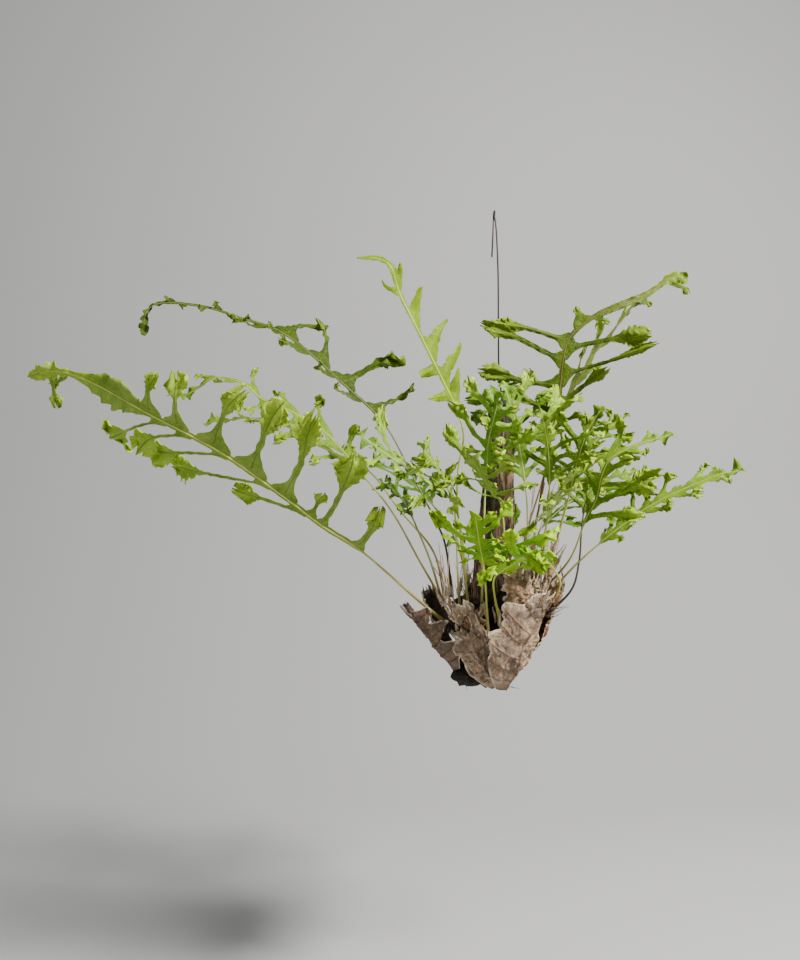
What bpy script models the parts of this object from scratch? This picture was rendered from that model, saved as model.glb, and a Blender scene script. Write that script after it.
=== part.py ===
"""A lacy oak leaf fern grown on a piece of branch, hung by a bent wire hook.

Metres, +Z up. The origin is the point where the hook's crown rests on a rail,
+X runs along the widest spread of the fronds, and -Y is the front.
"""

import math

import bmesh
import bpy
import numpy as np

WIRE_RADIUS = 0.0010
HOOK_RADIUS = 0.0095  # from the middle of the rail to the middle of the wire
HOOK_TAIL = 0.054
HOLE_RADIUS = 0.0014
HOLE_DEPTH = 0.022

WOOD_LINE = [
    (0.009, 0.002, -0.236),
    (0.007, 0.002, -0.290),
    (0.005, 0.000, -0.350),
    (-0.001, 0.000, -0.410),
    (-0.011, 0.000, -0.480),
    (-0.022, 0.000, -0.540),
    (-0.040, -0.004, -0.572),
]
WOOD_RADII = [0.0140, 0.0175, 0.0195, 0.0200, 0.0190, 0.0150, 0.0110]
WOOD_SIDES = 18
WOOD_RINGS = 26

RHIZOME_LINE = [
    (0.022, 0.034, -0.470),
    (-0.014, 0.042, -0.476),
    (-0.047, 0.018, -0.488),
    (-0.047, -0.016, -0.506),
    (-0.016, -0.036, -0.518),
    (0.020, -0.028, -0.512),
    (0.046, -0.004, -0.490),
    (0.056, 0.008, -0.474),
]
RHIZOME_RADIUS = 0.0100
RHIZOME_SIDES = 9
RHIZOME_RINGS = 30

RIB_THICKNESS = 0.0030
BLADE_SHARE = 0.40  # of the rib's thickness
STALK_SHARE = 0.75
STALK_STATIONS = 5
STALK_HALF_WIDTH = 0.0015
WING_HALF_WIDTH = 0.0040
LOBE_ROWS = [(0.28, 0.0065), (0.62, 0.0036), (0.86, 0.0085), (1.00, 0.0050)]
PLAIN_TIP = [(0.93, 0.0030), (0.97, 0.0075), (1.00, 0.0035)]

DEAD_STALK_RADIUS = 0.0012

NEST_THICKNESS = 0.0014
NEST_COLUMNS = 7
NEST_ROWS = 7
NEST_NOTCH = 0.12

# route: the stalk and midrib. face: where the upper side looks. blade: where along
# the route the blade starts. tip: half widths past the last lobe. lobes: place along
# the route, side, length, angle towards the tip where the lobe leaves the midrib,
# and how much further it bends (degrees).
FRONDS = {
    "frond_left_long": dict(
        route=[(-0.062, -0.028, -0.496), (-0.100, -0.035, -0.464), (-0.160, -0.055, -0.410),
               (-0.205, -0.065, -0.380), (-0.250, -0.075, -0.345), (-0.320, -0.085, -0.295),
               (-0.405, -0.080, -0.250), (-0.470, -0.065, -0.215), (-0.515, -0.055, -0.200),
               (-0.555, -0.040, -0.205)],
        face=(0.20, 0.85, 0.45), blade=0.20,
        tip=[(0.755, 0.006), (0.80, 0.022), (0.86, 0.016), (0.91, 0.004), (0.965, 0.014), (1.0, 0.006)],
        lobes=[(0.235, -1, 0.050, 0, 20), (0.317, -1, 0.088, 5, 40), (0.37, 1, 0.072, 60, 10),
               (0.412, -1, 0.104, 8, 10), (0.457, 1, 0.104, 60, 5), (0.493, -1, 0.086, 10, 0),
               (0.555, 1, 0.078, 58, -5), (0.575, -1, 0.064, 10, -20), (0.635, 1, 0.062, 50, 5),
               (0.655, -1, 0.038, 25, 20), (0.69, 1, 0.070, 50, 5), (0.71, -1, 0.046, 30, -40)],
    ),
    "frond_left_arching": dict(
        route=[(-0.050, 0.026, -0.472), (-0.058, 0.030, -0.410), (-0.072, 0.036, -0.375),
               (-0.100, 0.050, -0.320), (-0.135, 0.070, -0.255), (-0.185, 0.090, -0.205),
               (-0.265, 0.110, -0.135), (-0.330, 0.120, -0.110), (-0.375, 0.125, -0.095),
               (-0.430, 0.120, -0.090), (-0.452, 0.115, -0.102), (-0.456, 0.110, -0.135)],
        face=(0.30, -0.75, 0.50), blade=0.34,
        lobes=[(0.40, 1, 0.066, 0, -30), (0.45, -1, 0.040, 30, 20), (0.49, 1, 0.086, 0, -60),
               (0.52, -1, 0.036, 30, 20), (0.56, 1, 0.052, 10, 40), (0.60, -1, 0.034, 30, 20),
               (0.65, 1, 0.050, 0, -90), (0.70, -1, 0.026, 40, 10), (0.74, 1, 0.018, 40, 0),
               (0.78, -1, 0.018, 30, 0), (0.83, 1, 0.014, 30, 0), (0.88, -1, 0.012, 10, 0)],
    ),
    "frond_young_bright": dict(
        route=[(-0.032, -0.034, -0.496), (-0.046, -0.036, -0.365), (-0.046, -0.038, -0.315),
               (-0.040, -0.040, -0.275), (-0.050, -0.045, -0.240), (-0.065, -0.050, -0.210),
               (-0.090, -0.055, -0.160), (-0.115, -0.055, -0.110), (-0.125, -0.060, -0.080),
               (-0.140, -0.060, -0.070), (-0.165, -0.065, -0.070)],
        face=(0.50, -0.70, 0.40), blade=0.50,
        lobes=[(0.56, 1, 0.058, 45, 0), (0.60, -1, 0.020, 40, 0), (0.66, 1, 0.040, 45, 0),
               (0.70, -1, 0.016, 40, 0), (0.76, 1, 0.016, 40, 0), (0.86, -1, 0.020, 30, 0)],
    ),
    "frond_right_high": dict(
        route=[(0.049, 0.022, -0.462), (0.050, 0.004, -0.390), (0.056, -0.005, -0.350),
               (0.066, -0.015, -0.280), (0.074, -0.020, -0.250), (0.077, -0.025, -0.210),
               (0.080, -0.030, -0.180), (0.087, -0.030, -0.158), (0.110, -0.030, -0.136),
               (0.145, -0.030, -0.120), (0.180, -0.025, -0.105), (0.210, -0.020, -0.085),
               (0.232, -0.015, -0.084)],
        face=(0.00, -1.00, 0.15), blade=0.40,
        lobes=[(0.435, 1, 0.024, 25, 0), (0.458, -1, 0.055, 16, 11), (0.485, 1, 0.068, 45, -12),
               (0.53, -1, 0.093, 0, 12), (0.555, 1, 0.112, 22, 0), (0.595, -1, 0.101, 15, 12),
               (0.625, 1, 0.090, 26, 0), (0.65, -1, 0.090, -4, -20), (0.74, 1, 0.014, 40, 0),
               (0.80, -1, 0.012, 40, 0), (0.86, 1, 0.010, 40, 0)],
    ),
    "frond_right_behind": dict(
        route=[(0.036, 0.042, -0.452), (0.044, 0.050, -0.400), (0.068, 0.060, -0.325),
               (0.085, 0.066, -0.250), (0.115, 0.072, -0.200), (0.140, 0.080, -0.160),
               (0.165, 0.085, -0.130), (0.190, 0.090, -0.100), (0.212, 0.095, -0.084)],
        face=(-0.75, 0.45, 0.45), blade=0.45,
        lobes=[(0.50, 1, 0.040, 35, 10), (0.56, -1, 0.045, 35, 10), (0.62, 1, 0.050, 35, 10),
               (0.68, -1, 0.044, 35, 10), (0.75, 1, 0.032, 35, 10), (0.81, -1, 0.026, 35, 10),
               (0.88, 1, 0.018, 35, 10)],
    ),
    "frond_right_low": dict(
        route=[(0.065, -0.008, -0.466), (0.100, -0.020, -0.425), (0.145, -0.030, -0.385),
               (0.185, -0.040, -0.355), (0.235, -0.050, -0.330), (0.260, -0.055, -0.320),
               (0.288, -0.060, -0.315)],
        face=(-0.30, -0.60, 0.74), blade=0.30,
        lobes=[(0.38, -1, 0.020, 40, 0), (0.44, 1, 0.016, 40, 0), (0.50, -1, 0.034, 30, 20),
               (0.57, 1, 0.018, 40, 0), (0.64, -1, 0.022, 40, 0), (0.71, 1, 0.018, 40, 0),
               (0.79, -1, 0.020, 40, 0), (0.86, 1, 0.016, 40, 0)],
    ),
    "frond_right_middle": dict(
        route=[(0.058, -0.012, -0.460), (0.086, -0.040, -0.420), (0.100, -0.060, -0.375),
               (0.110, -0.075, -0.350), (0.116, -0.082, -0.320), (0.128, -0.086, -0.300),
               (0.160, -0.090, -0.285), (0.196, -0.090, -0.275)],
        face=(-0.35, -0.75, 0.55), blade=0.36,
        lobes=[(0.43, 1, 0.080, 48, -10), (0.47, -1, 0.030, 35, 0), (0.51, 1, 0.094, 55, -5),
               (0.58, -1, 0.036, 35, 0), (0.66, 1, 0.034, 40, 0), (0.74, -1, 0.044, 40, 10),
               (0.81, 1, 0.024, 35, 10), (0.88, -1, 0.018, 35, 10)],
    ),
    "frond_right_upper": dict(
        route=[(0.062, 0.014, -0.456), (0.076, -0.005, -0.400), (0.088, -0.015, -0.350),
               (0.094, -0.032, -0.312), (0.102, -0.042, -0.280), (0.112, -0.046, -0.258),
               (0.124, -0.050, -0.240)],
        face=(-0.20, -0.90, 0.35), blade=0.50,
        lobes=[(0.56, 1, 0.060, 20, 10), (0.63, -1, 0.034, 30, 0), (0.70, 1, 0.046, 30, 10),
               (0.78, -1, 0.026, 30, 0), (0.86, 1, 0.024, 30, 0)],
    ),
    "frond_right_dark_stalk": dict(
        route=[(0.062, -0.022, -0.488), (0.090, -0.026, -0.458), (0.101, -0.015, -0.425),
               (0.106, -0.003, -0.390), (0.112, 0.008, -0.360), (0.122, 0.016, -0.340),
               (0.146, 0.026, -0.325), (0.186, 0.032, -0.316)],
        face=(-0.30, -0.55, 0.78), blade=0.55,
        lobes=[(0.60, 1, 0.044, 30, 10), (0.66, -1, 0.050, 30, 10), (0.73, 1, 0.044, 30, 10),
               (0.80, -1, 0.034, 30, 10), (0.88, 1, 0.022, 30, 10)],
    ),
    "frond_front_left": dict(
        route=[(-0.012, -0.052, -0.506), (-0.015, -0.066, -0.465), (-0.018, -0.080, -0.440),
               (-0.022, -0.100, -0.418), (-0.027, -0.125, -0.400), (-0.032, -0.150, -0.380),
               (-0.036, -0.170, -0.362)],
        face=(-0.10, -0.10, 1.00), blade=0.48,
        lobes=[(0.54, -1, 0.050, 25, 0), (0.60, 1, 0.034, 30, 0), (0.67, -1, 0.055, 25, 0),
               (0.75, 1, 0.036, 30, 0), (0.83, -1, 0.034, 30, 0)],
    ),
    "frond_front_right": dict(
        route=[(0.004, -0.052, -0.503), (-0.006, -0.070, -0.460), (-0.008, -0.090, -0.438),
               (0.002, -0.115, -0.425), (0.015, -0.140, -0.412), (0.030, -0.160, -0.400)],
        face=(0.10, -0.10, 1.00), blade=0.50,
        lobes=[(0.57, 1, 0.040, 25, 0), (0.63, -1, 0.026, 30, 0), (0.70, 1, 0.044, 25, 0),
               (0.78, -1, 0.026, 30, 0), (0.86, 1, 0.030, 30, 0)],
    ),
    "frond_centre_star": dict(
        route=[(0.014, -0.040, -0.496), (0.004, -0.060, -0.365), (-0.008, -0.080, -0.345),
               (-0.018, -0.100, -0.330), (-0.030, -0.128, -0.314), (-0.040, -0.150, -0.300)],
        face=(0.00, -0.35, 0.95), blade=0.56,
        lobes=[(0.62, 1, 0.028, 20, 0), (0.68, -1, 0.040, 20, 0), (0.75, 1, 0.040, 25, 0),
               (0.82, -1, 0.030, 30, 0), (0.89, 1, 0.022, 30, 0)],
    ),
    "frond_centre_high": dict(
        route=[(-0.020, -0.050, -0.502), (-0.016, -0.054, -0.350), (-0.014, -0.062, -0.305),
               (-0.013, -0.076, -0.280), (-0.008, -0.088, -0.255), (-0.006, -0.094, -0.238),
               (-0.020, -0.100, -0.225)],
        face=(-0.20, -0.90, 0.30), blade=0.60,
        lobes=[(0.64, -1, 0.050, 20, 10), (0.69, 1, 0.040, 30, 10), (0.75, -1, 0.050, 25, 10),
               (0.81, 1, 0.036, 30, 10), (0.88, -1, 0.030, 30, 10)],
    ),
    "frond_centre_pale": dict(
        route=[(0.034, -0.036, -0.494), (0.036, -0.036, -0.400), (0.034, -0.044, -0.345),
               (0.024, -0.052, -0.285), (0.018, -0.056, -0.255), (0.012, -0.060, -0.236),
               (0.004, -0.064, -0.212)],
        face=(0.25, -0.85, 0.35), blade=0.56,
        lobes=[(0.61, 1, 0.052, 25, 10), (0.67, -1, 0.036, 30, 10), (0.73, 1, 0.056, 25, 10),
               (0.80, -1, 0.036, 30, 10), (0.88, 1, 0.034, 30, 10)],
    ),
    "frond_left_grey": dict(
        route=[(-0.044, -0.036, -0.498), (-0.050, -0.052, -0.375), (-0.056, -0.062, -0.350),
               (-0.082, -0.080, -0.330), (-0.107, -0.100, -0.314), (-0.135, -0.120, -0.295),
               (-0.162, -0.130, -0.275)],
        face=(0.15, -0.60, 0.75), blade=0.50,
        lobes=[(0.55, 1, 0.036, 35, 0), (0.61, -1, 0.036, 30, 0), (0.67, 1, 0.044, 30, 0),
               (0.74, -1, 0.038, 30, 0), (0.80, 1, 0.038, 30, 0), (0.87, -1, 0.026, 30, 0)],
    ),
    "frond_right_centre": dict(
        route=[(0.044, -0.026, -0.482), (0.054, -0.046, -0.395), (0.060, -0.066, -0.362),
               (0.066, -0.088, -0.340), (0.076, -0.110, -0.322), (0.088, -0.130, -0.312)],
        face=(-0.10, -0.45, 0.88), blade=0.52,
        lobes=[(0.58, 1, 0.044, 25, 0), (0.65, -1, 0.042, 25, 0), (0.72, 1, 0.044, 25, 0),
               (0.79, -1, 0.034, 30, 0), (0.87, 1, 0.024, 30, 0)],
    ),
    "frond_back_centre": dict(
        route=[(0.012, 0.048, -0.458), (0.020, 0.050, -0.380), (0.026, 0.060, -0.290),
               (0.026, 0.070, -0.225), (0.018, 0.080, -0.185)],
        face=(-0.10, -0.85, 0.50), blade=0.55,
        lobes=[(0.61, 1, 0.050, 30, 0), (0.67, -1, 0.050, 30, 0), (0.73, 1, 0.046, 30, 0),
               (0.80, -1, 0.036, 30, 0), (0.88, 1, 0.024, 30, 0)],
    ),
    "frond_left_middle": dict(
        route=[(-0.060, 0.006, -0.480), (-0.092, -0.004, -0.424), (-0.125, -0.010, -0.365),
               (-0.165, -0.015, -0.315), (-0.205, -0.020, -0.270), (-0.245, -0.020, -0.245),
               (-0.280, -0.020, -0.230), (-0.305, -0.020, -0.210), (-0.340, -0.020, -0.205),
               (-0.366, -0.020, -0.222), (-0.395, -0.020, -0.226)],
        face=(0.20, -0.55, 0.80), blade=0.42,
        lobes=[(0.46, 1, 0.046, 30, 10), (0.51, -1, 0.044, 30, 10), (0.56, 1, 0.054, 30, 10),
               (0.61, -1, 0.044, 30, 10), (0.66, 1, 0.044, 30, 10), (0.71, -1, 0.036, 30, 10),
               (0.76, 1, 0.034, 30, 10), (0.82, -1, 0.026, 30, 10), (0.88, 1, 0.024, 30, 10)],
    ),
    "frond_left_lower": dict(
        route=[(-0.060, 0.016, -0.470), (-0.074, 0.020, -0.415), (-0.115, 0.025, -0.365),
               (-0.155, 0.030, -0.315), (-0.215, 0.035, -0.285), (-0.275, 0.045, -0.252),
               (-0.330, 0.050, -0.250), (-0.366, 0.050, -0.256)],
        face=(0.15, -0.35, 0.92), blade=0.44,
        lobes=[(0.49, 1, 0.046, 30, 10), (0.55, -1, 0.044, 30, 10), (0.61, 1, 0.050, 30, 10),
               (0.67, -1, 0.044, 30, 10), (0.73, 1, 0.040, 30, 10), (0.80, -1, 0.030, 30, 10),
               (0.87, 1, 0.024, 30, 10)],
    ),
    "frond_back_left": dict(
        route=[(-0.026, 0.056, -0.466), (-0.045, 0.080, -0.400), (-0.085, 0.120, -0.345),
               (-0.130, 0.160, -0.310), (-0.180, 0.185, -0.300)],
        face=(0.30, -0.25, 0.90), blade=0.44,
        lobes=[(0.50, 1, 0.046, 30, 10), (0.57, -1, 0.046, 30, 10), (0.64, 1, 0.048, 30, 10),
               (0.71, -1, 0.042, 30, 10), (0.78, 1, 0.034, 30, 10), (0.86, -1, 0.026, 30, 10)],
    ),
    "frond_back_right": dict(
        route=[(0.030, 0.050, -0.462), (0.050, 0.085, -0.420), (0.085, 0.120, -0.380),
               (0.130, 0.150, -0.350), (0.180, 0.170, -0.345)],
        face=(-0.30, -0.25, 0.90), blade=0.42,
        lobes=[(0.48, 1, 0.044, 30, 10), (0.55, -1, 0.044, 30, 10), (0.62, 1, 0.048, 30, 10),
               (0.70, -1, 0.042, 30, 10), (0.78, 1, 0.032, 30, 10), (0.86, -1, 0.024, 30, 10)],
    ),
    "frond_centre_left": dict(
        route=[(-0.034, -0.038, -0.498), (-0.040, -0.058, -0.420), (-0.048, -0.074, -0.370),
               (-0.062, -0.092, -0.335), (-0.080, -0.112, -0.305), (-0.096, -0.126, -0.285)],
        face=(0.10, -0.55, 0.82), blade=0.54,
        lobes=[(0.60, 1, 0.040, 25, 0), (0.66, -1, 0.036, 30, 0), (0.73, 1, 0.040, 25, 0),
               (0.80, -1, 0.030, 30, 0), (0.87, 1, 0.024, 30, 0)],
    ),
    "frond_right_inner": dict(
        route=[(0.052, -0.016, -0.470), (0.058, -0.026, -0.400), (0.062, -0.036, -0.340),
               (0.058, -0.054, -0.295), (0.050, -0.074, -0.262), (0.042, -0.092, -0.240)],
        face=(-0.05, -0.80, 0.60), blade=0.54,
        lobes=[(0.60, 1, 0.042, 30, 0), (0.67, -1, 0.030, 30, 0), (0.73, 1, 0.044, 30, 0),
               (0.80, -1, 0.028, 30, 0), (0.87, 1, 0.030, 30, 0)],
    ),
    "frond_right_arching": dict(
        route=[(0.070, -0.030, -0.466), (0.074, -0.040, -0.448), (0.064, -0.050, -0.430),
               (0.048, -0.066, -0.416), (0.030, -0.084, -0.408), (0.016, -0.106, -0.404)],
        face=(0.05, -0.30, 0.95), blade=0.50,
        lobes=[(0.57, 1, 0.030, 30, 0), (0.65, -1, 0.028, 30, 0), (0.73, 1, 0.028, 30, 0),
               (0.82, -1, 0.022, 30, 0)],
    ),
    "frond_left_short": dict(
        route=[(-0.064, -0.012, -0.474), (-0.078, -0.034, -0.426), (-0.094, -0.050, -0.386),
               (-0.108, -0.060, -0.356), (-0.124, -0.070, -0.338), (-0.140, -0.078, -0.326)],
        face=(0.20, -0.50, 0.85), blade=0.62,
        lobes=[(0.68, 1, 0.026, 30, 0), (0.75, -1, 0.028, 30, 0), (0.83, 1, 0.020, 30, 0)],
    ),
    "frond_right_outer": dict(
        route=[(0.066, 0.016, -0.452), (0.082, 0.034, -0.400), (0.098, 0.046, -0.350),
               (0.118, 0.054, -0.302), (0.146, 0.062, -0.266), (0.180, 0.064, -0.242)],
        face=(-0.25, -0.70, 0.66), blade=0.48,
        lobes=[(0.54, 1, 0.024, 35, 0), (0.61, -1, 0.036, 35, 0), (0.68, 1, 0.024, 35, 0),
               (0.75, -1, 0.034, 35, 0), (0.82, 1, 0.024, 35, 0), (0.89, -1, 0.018, 35, 0)],
    ),
    "frond_back_low": dict(
        route=[(0.000, 0.056, -0.466), (-0.002, 0.095, -0.420), (-0.006, 0.140, -0.400),
               (-0.010, 0.190, -0.405)],
        face=(0.00, 0.25, 0.95), blade=0.46,
        lobes=[(0.52, 1, 0.044, 30, 10), (0.60, -1, 0.044, 30, 10), (0.68, 1, 0.044, 30, 10),
               (0.77, -1, 0.036, 30, 10), (0.86, 1, 0.026, 30, 10)],
    ),
}

# A dry nest frond: its midrib, its half width, and how far its sides bend inwards.
NEST_FRONDS = {
    "nest_frond_front_right": dict(
        route=[(0.010, -0.042, -0.574), (0.020, -0.064, -0.545), (0.032, -0.072, -0.508),
               (0.056, -0.070, -0.462)], half_width=0.034, cup=0.60),
    "nest_frond_front_left": dict(
        route=[(0.000, -0.030, -0.572), (-0.016, -0.048, -0.546), (-0.032, -0.058, -0.512),
               (-0.046, -0.060, -0.476)], half_width=0.032, cup=0.50),
    "nest_frond_far_left": dict(
        route=[(-0.050, -0.022, -0.555), (-0.066, -0.030, -0.532), (-0.084, -0.036, -0.506),
               (-0.108, -0.042, -0.476)], half_width=0.020, cup=0.50),
    "nest_frond_inner_left": dict(
        route=[(-0.026, -0.048, -0.530), (-0.030, -0.054, -0.505), (-0.030, -0.056, -0.480)],
        half_width=0.014, cup=0.30),
    "nest_frond_upper_right": dict(
        route=[(0.026, -0.052, -0.508), (0.034, -0.056, -0.476), (0.034, -0.054, -0.436)],
        half_width=0.026, cup=0.55),
    "nest_frond_right": dict(
        route=[(0.022, -0.002, -0.570), (0.050, 0.006, -0.530), (0.068, 0.012, -0.494),
               (0.074, 0.018, -0.462)], half_width=0.022, cup=0.50),
    "nest_frond_back_right": dict(
        route=[(0.012, 0.032, -0.570), (0.034, 0.058, -0.530), (0.044, 0.072, -0.490),
               (0.048, 0.078, -0.462)], half_width=0.024, cup=0.50),
    "nest_frond_back": dict(
        route=[(-0.020, 0.024, -0.572), (-0.018, 0.050, -0.532), (-0.016, 0.064, -0.494),
               (-0.014, 0.070, -0.470)], half_width=0.026, cup=0.45),
    "nest_frond_back_left": dict(
        route=[(-0.046, 0.014, -0.566), (-0.064, 0.036, -0.528), (-0.072, 0.048, -0.494),
               (-0.078, 0.054, -0.470)], half_width=0.026, cup=0.50),
}

DEAD_STALKS = {
    "dead_stalk_left": [(-0.058, -0.012, -0.470), (-0.060, -0.014, -0.445), (-0.068, -0.018, -0.424)],
    "dead_stalk_inner": [(0.044, -0.010, -0.474), (0.046, -0.018, -0.440), (0.044, -0.022, -0.404)],
    "dead_stalk_right": [(0.058, -0.004, -0.458), (0.066, -0.006, -0.430), (0.070, -0.006, -0.396)],
    "dead_stalk_tall": [(0.040, 0.012, -0.472), (0.044, 0.000, -0.420), (0.060, -0.012, -0.330)],
}


def clear_scene():
    for obj in list(bpy.data.objects):
        bpy.data.objects.remove(obj)


def material(name, colour, roughness, metallic=0.0):
    made = bpy.data.materials.new(name)
    made.use_nodes = True
    shader = made.node_tree.nodes["Principled BSDF"]
    shader.inputs["Base Color"].default_value = (*colour, 1.0)
    shader.inputs["Roughness"].default_value = roughness
    shader.inputs["Metallic"].default_value = metallic
    made.diffuse_color = (*colour, 1.0)
    return made


def add_object(name, data, look):
    obj = bpy.data.objects.new(name, data)
    bpy.context.scene.collection.objects.link(obj)
    data.materials.append(look)
    return obj


def unit(vector):
    return vector / np.linalg.norm(vector)


def smooth_route(points, steps=16):
    """A Catmull-Rom curve through the points, as an array of places along it."""
    given = np.array(points, float)
    before = 2 * given[0] - given[1]
    after = 2 * given[-1] - given[-2]
    knots = np.vstack([before, given, after])
    places = []
    for a, b, c, d in zip(knots, knots[1:], knots[2:], knots[3:]):
        for u in np.arange(steps) / steps:
            places.append(0.5 * (2 * b + (c - a) * u + (2 * a - 5 * b + 4 * c - d) * u**2
                                 + (3 * b - a - 3 * c + d) * u**3))
    places.append(given[-1])
    return np.array(places)


def sampled(points, fractions):
    """Places and directions at these fractions of the smooth route's length."""
    curve = smooth_route(points)
    steps = np.linalg.norm(np.diff(curve, axis=0), axis=1)
    along = np.concatenate([[0.0], np.cumsum(steps)]) / steps.sum()
    places = np.array([[np.interp(f, along, curve[:, k]) for k in range(3)] for f in fractions])
    slopes = np.gradient(curve, axis=0)
    headings = [unit(np.array([np.interp(f, along, slopes[:, k]) for k in range(3)])) for f in fractions]
    return places, headings


def loft(name, rings, look):
    """A closed body through rings of points, with flat ends."""
    mesh = bmesh.new()
    made = [[mesh.verts.new(point) for point in ring] for ring in rings]
    for low, high in zip(made, made[1:]):
        for k in range(len(low)):
            after = (k + 1) % len(low)
            mesh.faces.new((low[k], low[after], high[after], high[k]))
    mesh.faces.new(reversed(made[0]))
    mesh.faces.new(made[-1])
    bmesh.ops.recalc_face_normals(mesh, faces=mesh.faces)
    data = bpy.data.meshes.new(name)
    mesh.to_mesh(data)
    mesh.free()
    data.shade_smooth()
    data.set_sharp_from_angle(angle=math.radians(50))
    return add_object(name, data, look)


def rings_along(line, radii, sides, count, lump):
    """Rings square to the line, whose radius is times lump(angle, fraction)."""
    fractions = np.linspace(0, 1, count)
    places, headings = sampled(line, fractions)
    sizes = np.interp(fractions, np.linspace(0, 1, len(radii)), radii)
    across = unit(np.cross(headings[0], (0.0, 1.0, 0.3)))
    rings = []
    for place, heading, size, fraction in zip(places, headings, sizes, fractions):
        across = unit(across - heading * np.dot(across, heading))
        other = np.cross(heading, across)
        ring = []
        for k in range(sides):
            angle = 2 * math.pi * k / sides
            reach = size * lump(angle, fraction)
            ring.append(place + reach * (math.cos(angle) * across + math.sin(angle) * other))
        rings.append(ring)
    return rings


def tube(name, places, radius, look):
    curve = bpy.data.curves.new(name, "CURVE")
    curve.dimensions = "3D"
    curve.bevel_depth = radius
    curve.bevel_resolution = 2
    curve.use_fill_caps = True
    spline = curve.splines.new("POLY")
    spline.points.add(len(places) - 1)
    for point, place in zip(spline.points, places):
        point.co = (*place, 1.0)
    return add_object(name, curve, look)


def thickened(name, mesh, look, thickness):
    """The bmesh sheet as an object with a Solidify, thickest at its rib."""
    bmesh.ops.recalc_face_normals(mesh, faces=mesh.faces)
    rib = mesh.verts.layers.float["rib"]
    shares = [vertex[rib] for vertex in mesh.verts]
    data = bpy.data.meshes.new(name)
    mesh.to_mesh(data)
    mesh.free()
    data.attributes.remove(data.attributes["rib"])
    data.shade_smooth()
    obj = add_object(name, data, look)
    group = obj.vertex_groups.new(name="rib")
    for index, share in enumerate(shares):
        group.add([index], share, "REPLACE")
    solidify = obj.modifiers.new("Thickness", "SOLIDIFY")
    solidify.thickness = thickness
    solidify.offset = 0.0
    solidify.vertex_group = "rib"
    return obj


def frond(name, look, route, face, blade, lobes, tip=PLAIN_TIP):
    """Stalk, midrib and lobes as one sheet, thick along the midrib."""
    fractions = list(np.linspace(0.0, blade, STALK_STATIONS))
    at_lobe = []
    for lobe, before in zip(lobes, [None] + lobes):
        if before and before[1] == lobe[1]:
            fractions.append((before[0] + lobe[0]) / 2)
        at_lobe.append(len(fractions))
        fractions.append(lobe[0])
    past = len(fractions)
    fractions += [fraction for fraction, _ in tip]
    places, headings = sampled(route, fractions)
    up = unit(np.array(face))
    mesh = bmesh.new()
    rib = mesh.verts.layers.float.new("rib")

    def vertex(place, share):
        made = mesh.verts.new(place)
        made[rib] = share
        return made

    columns = {-1: [], 0: [], 1: []}
    sides = []
    for number, (place, heading) in enumerate(zip(places, headings)):
        normal = unit(up - heading * np.dot(up, heading))
        side = np.cross(heading, normal)
        sides.append((side, normal))
        in_stalk = number < STALK_STATIONS
        width = STALK_HALF_WIDTH if in_stalk else WING_HALF_WIDTH
        if number >= past:
            width = tip[number - past][1]
        share = STALK_SHARE if in_stalk else BLADE_SHARE
        for column in columns:
            columns[column].append(
                vertex(place + column * width * side, share if column else 1.0))
    for k in range(len(fractions) - 1):
        for left, right in ((-1, 0), (0, 1)):
            mesh.faces.new((columns[left][k], columns[right][k],
                            columns[right][k + 1], columns[left][k + 1]))
    for at, (_, which, length, sweep, bend) in zip(at_lobe, lobes):
        side, normal = sides[at]
        edge = [columns[which][at + step] for step in (-1, 0, 1)]
        place = np.array(edge[1].co)
        reached = 0.0
        last = edge
        for share, width in LOBE_ROWS:
            turn = math.radians(sweep + bend * share)
            ahead = math.cos(turn) * which * side + math.sin(turn) * headings[at]
            across = unit(np.cross(normal, ahead)) * which
            place = place + ahead * length * (share - reached)
            reached = share
            width = min(width, 0.30 * length)
            pair = [vertex(place - across * width, BLADE_SHARE),
                    vertex(place + across * width, BLADE_SHARE)]
            mesh.faces.new(last + pair[::-1])
            last = pair
    return thickened(name, mesh, look, RIB_THICKNESS)


def nest_frond(name, look, route, half_width, cup):
    """A broad dry frond, cupped round the wood, with a lobed edge."""
    fractions = np.linspace(0, 1, NEST_ROWS)
    places, headings = sampled(route, fractions)
    mesh = bmesh.new()
    rib = mesh.verts.layers.float.new("rib")
    rows = []
    for number, (place, heading, fraction) in enumerate(zip(places, headings, fractions)):
        outward = np.array([place[0] + 0.010, place[1], 0.0])
        outward = unit(outward - heading * np.dot(outward, heading))
        side = np.cross(heading, outward)
        width = half_width * (0.22 + 0.78 * math.sin(math.pi * (0.06 + 0.80 * fraction)))
        width *= 1.0 if number % 2 else 1.0 - NEST_NOTCH
        row = []
        for across in np.linspace(-1, 1, NEST_COLUMNS):
            angle = cup * across
            reach = width / cup
            made = mesh.verts.new(place + side * reach * math.sin(angle)
                                  - outward * reach * (1 - math.cos(angle)))
            made[rib] = 1.0
            row.append(made)
        rows.append(row)
    for low, high in zip(rows, rows[1:]):
        for k in range(NEST_COLUMNS - 1):
            mesh.faces.new((low[k], low[k + 1], high[k + 1], high[k]))
    return thickened(name, mesh, look, NEST_THICKNESS)


def wood_lump(angle, fraction):
    """Ridged bark, a few swellings, and a knob at the lower end."""
    ridges = 0.035 * math.sin(5 * angle + 9 * fraction) + 0.025 * math.sin(9 * angle - 14 * fraction)
    swelling = 0.06 * math.sin(11 * fraction + 2 * math.cos(angle))
    return 1.0 + ridges + swelling


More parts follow.
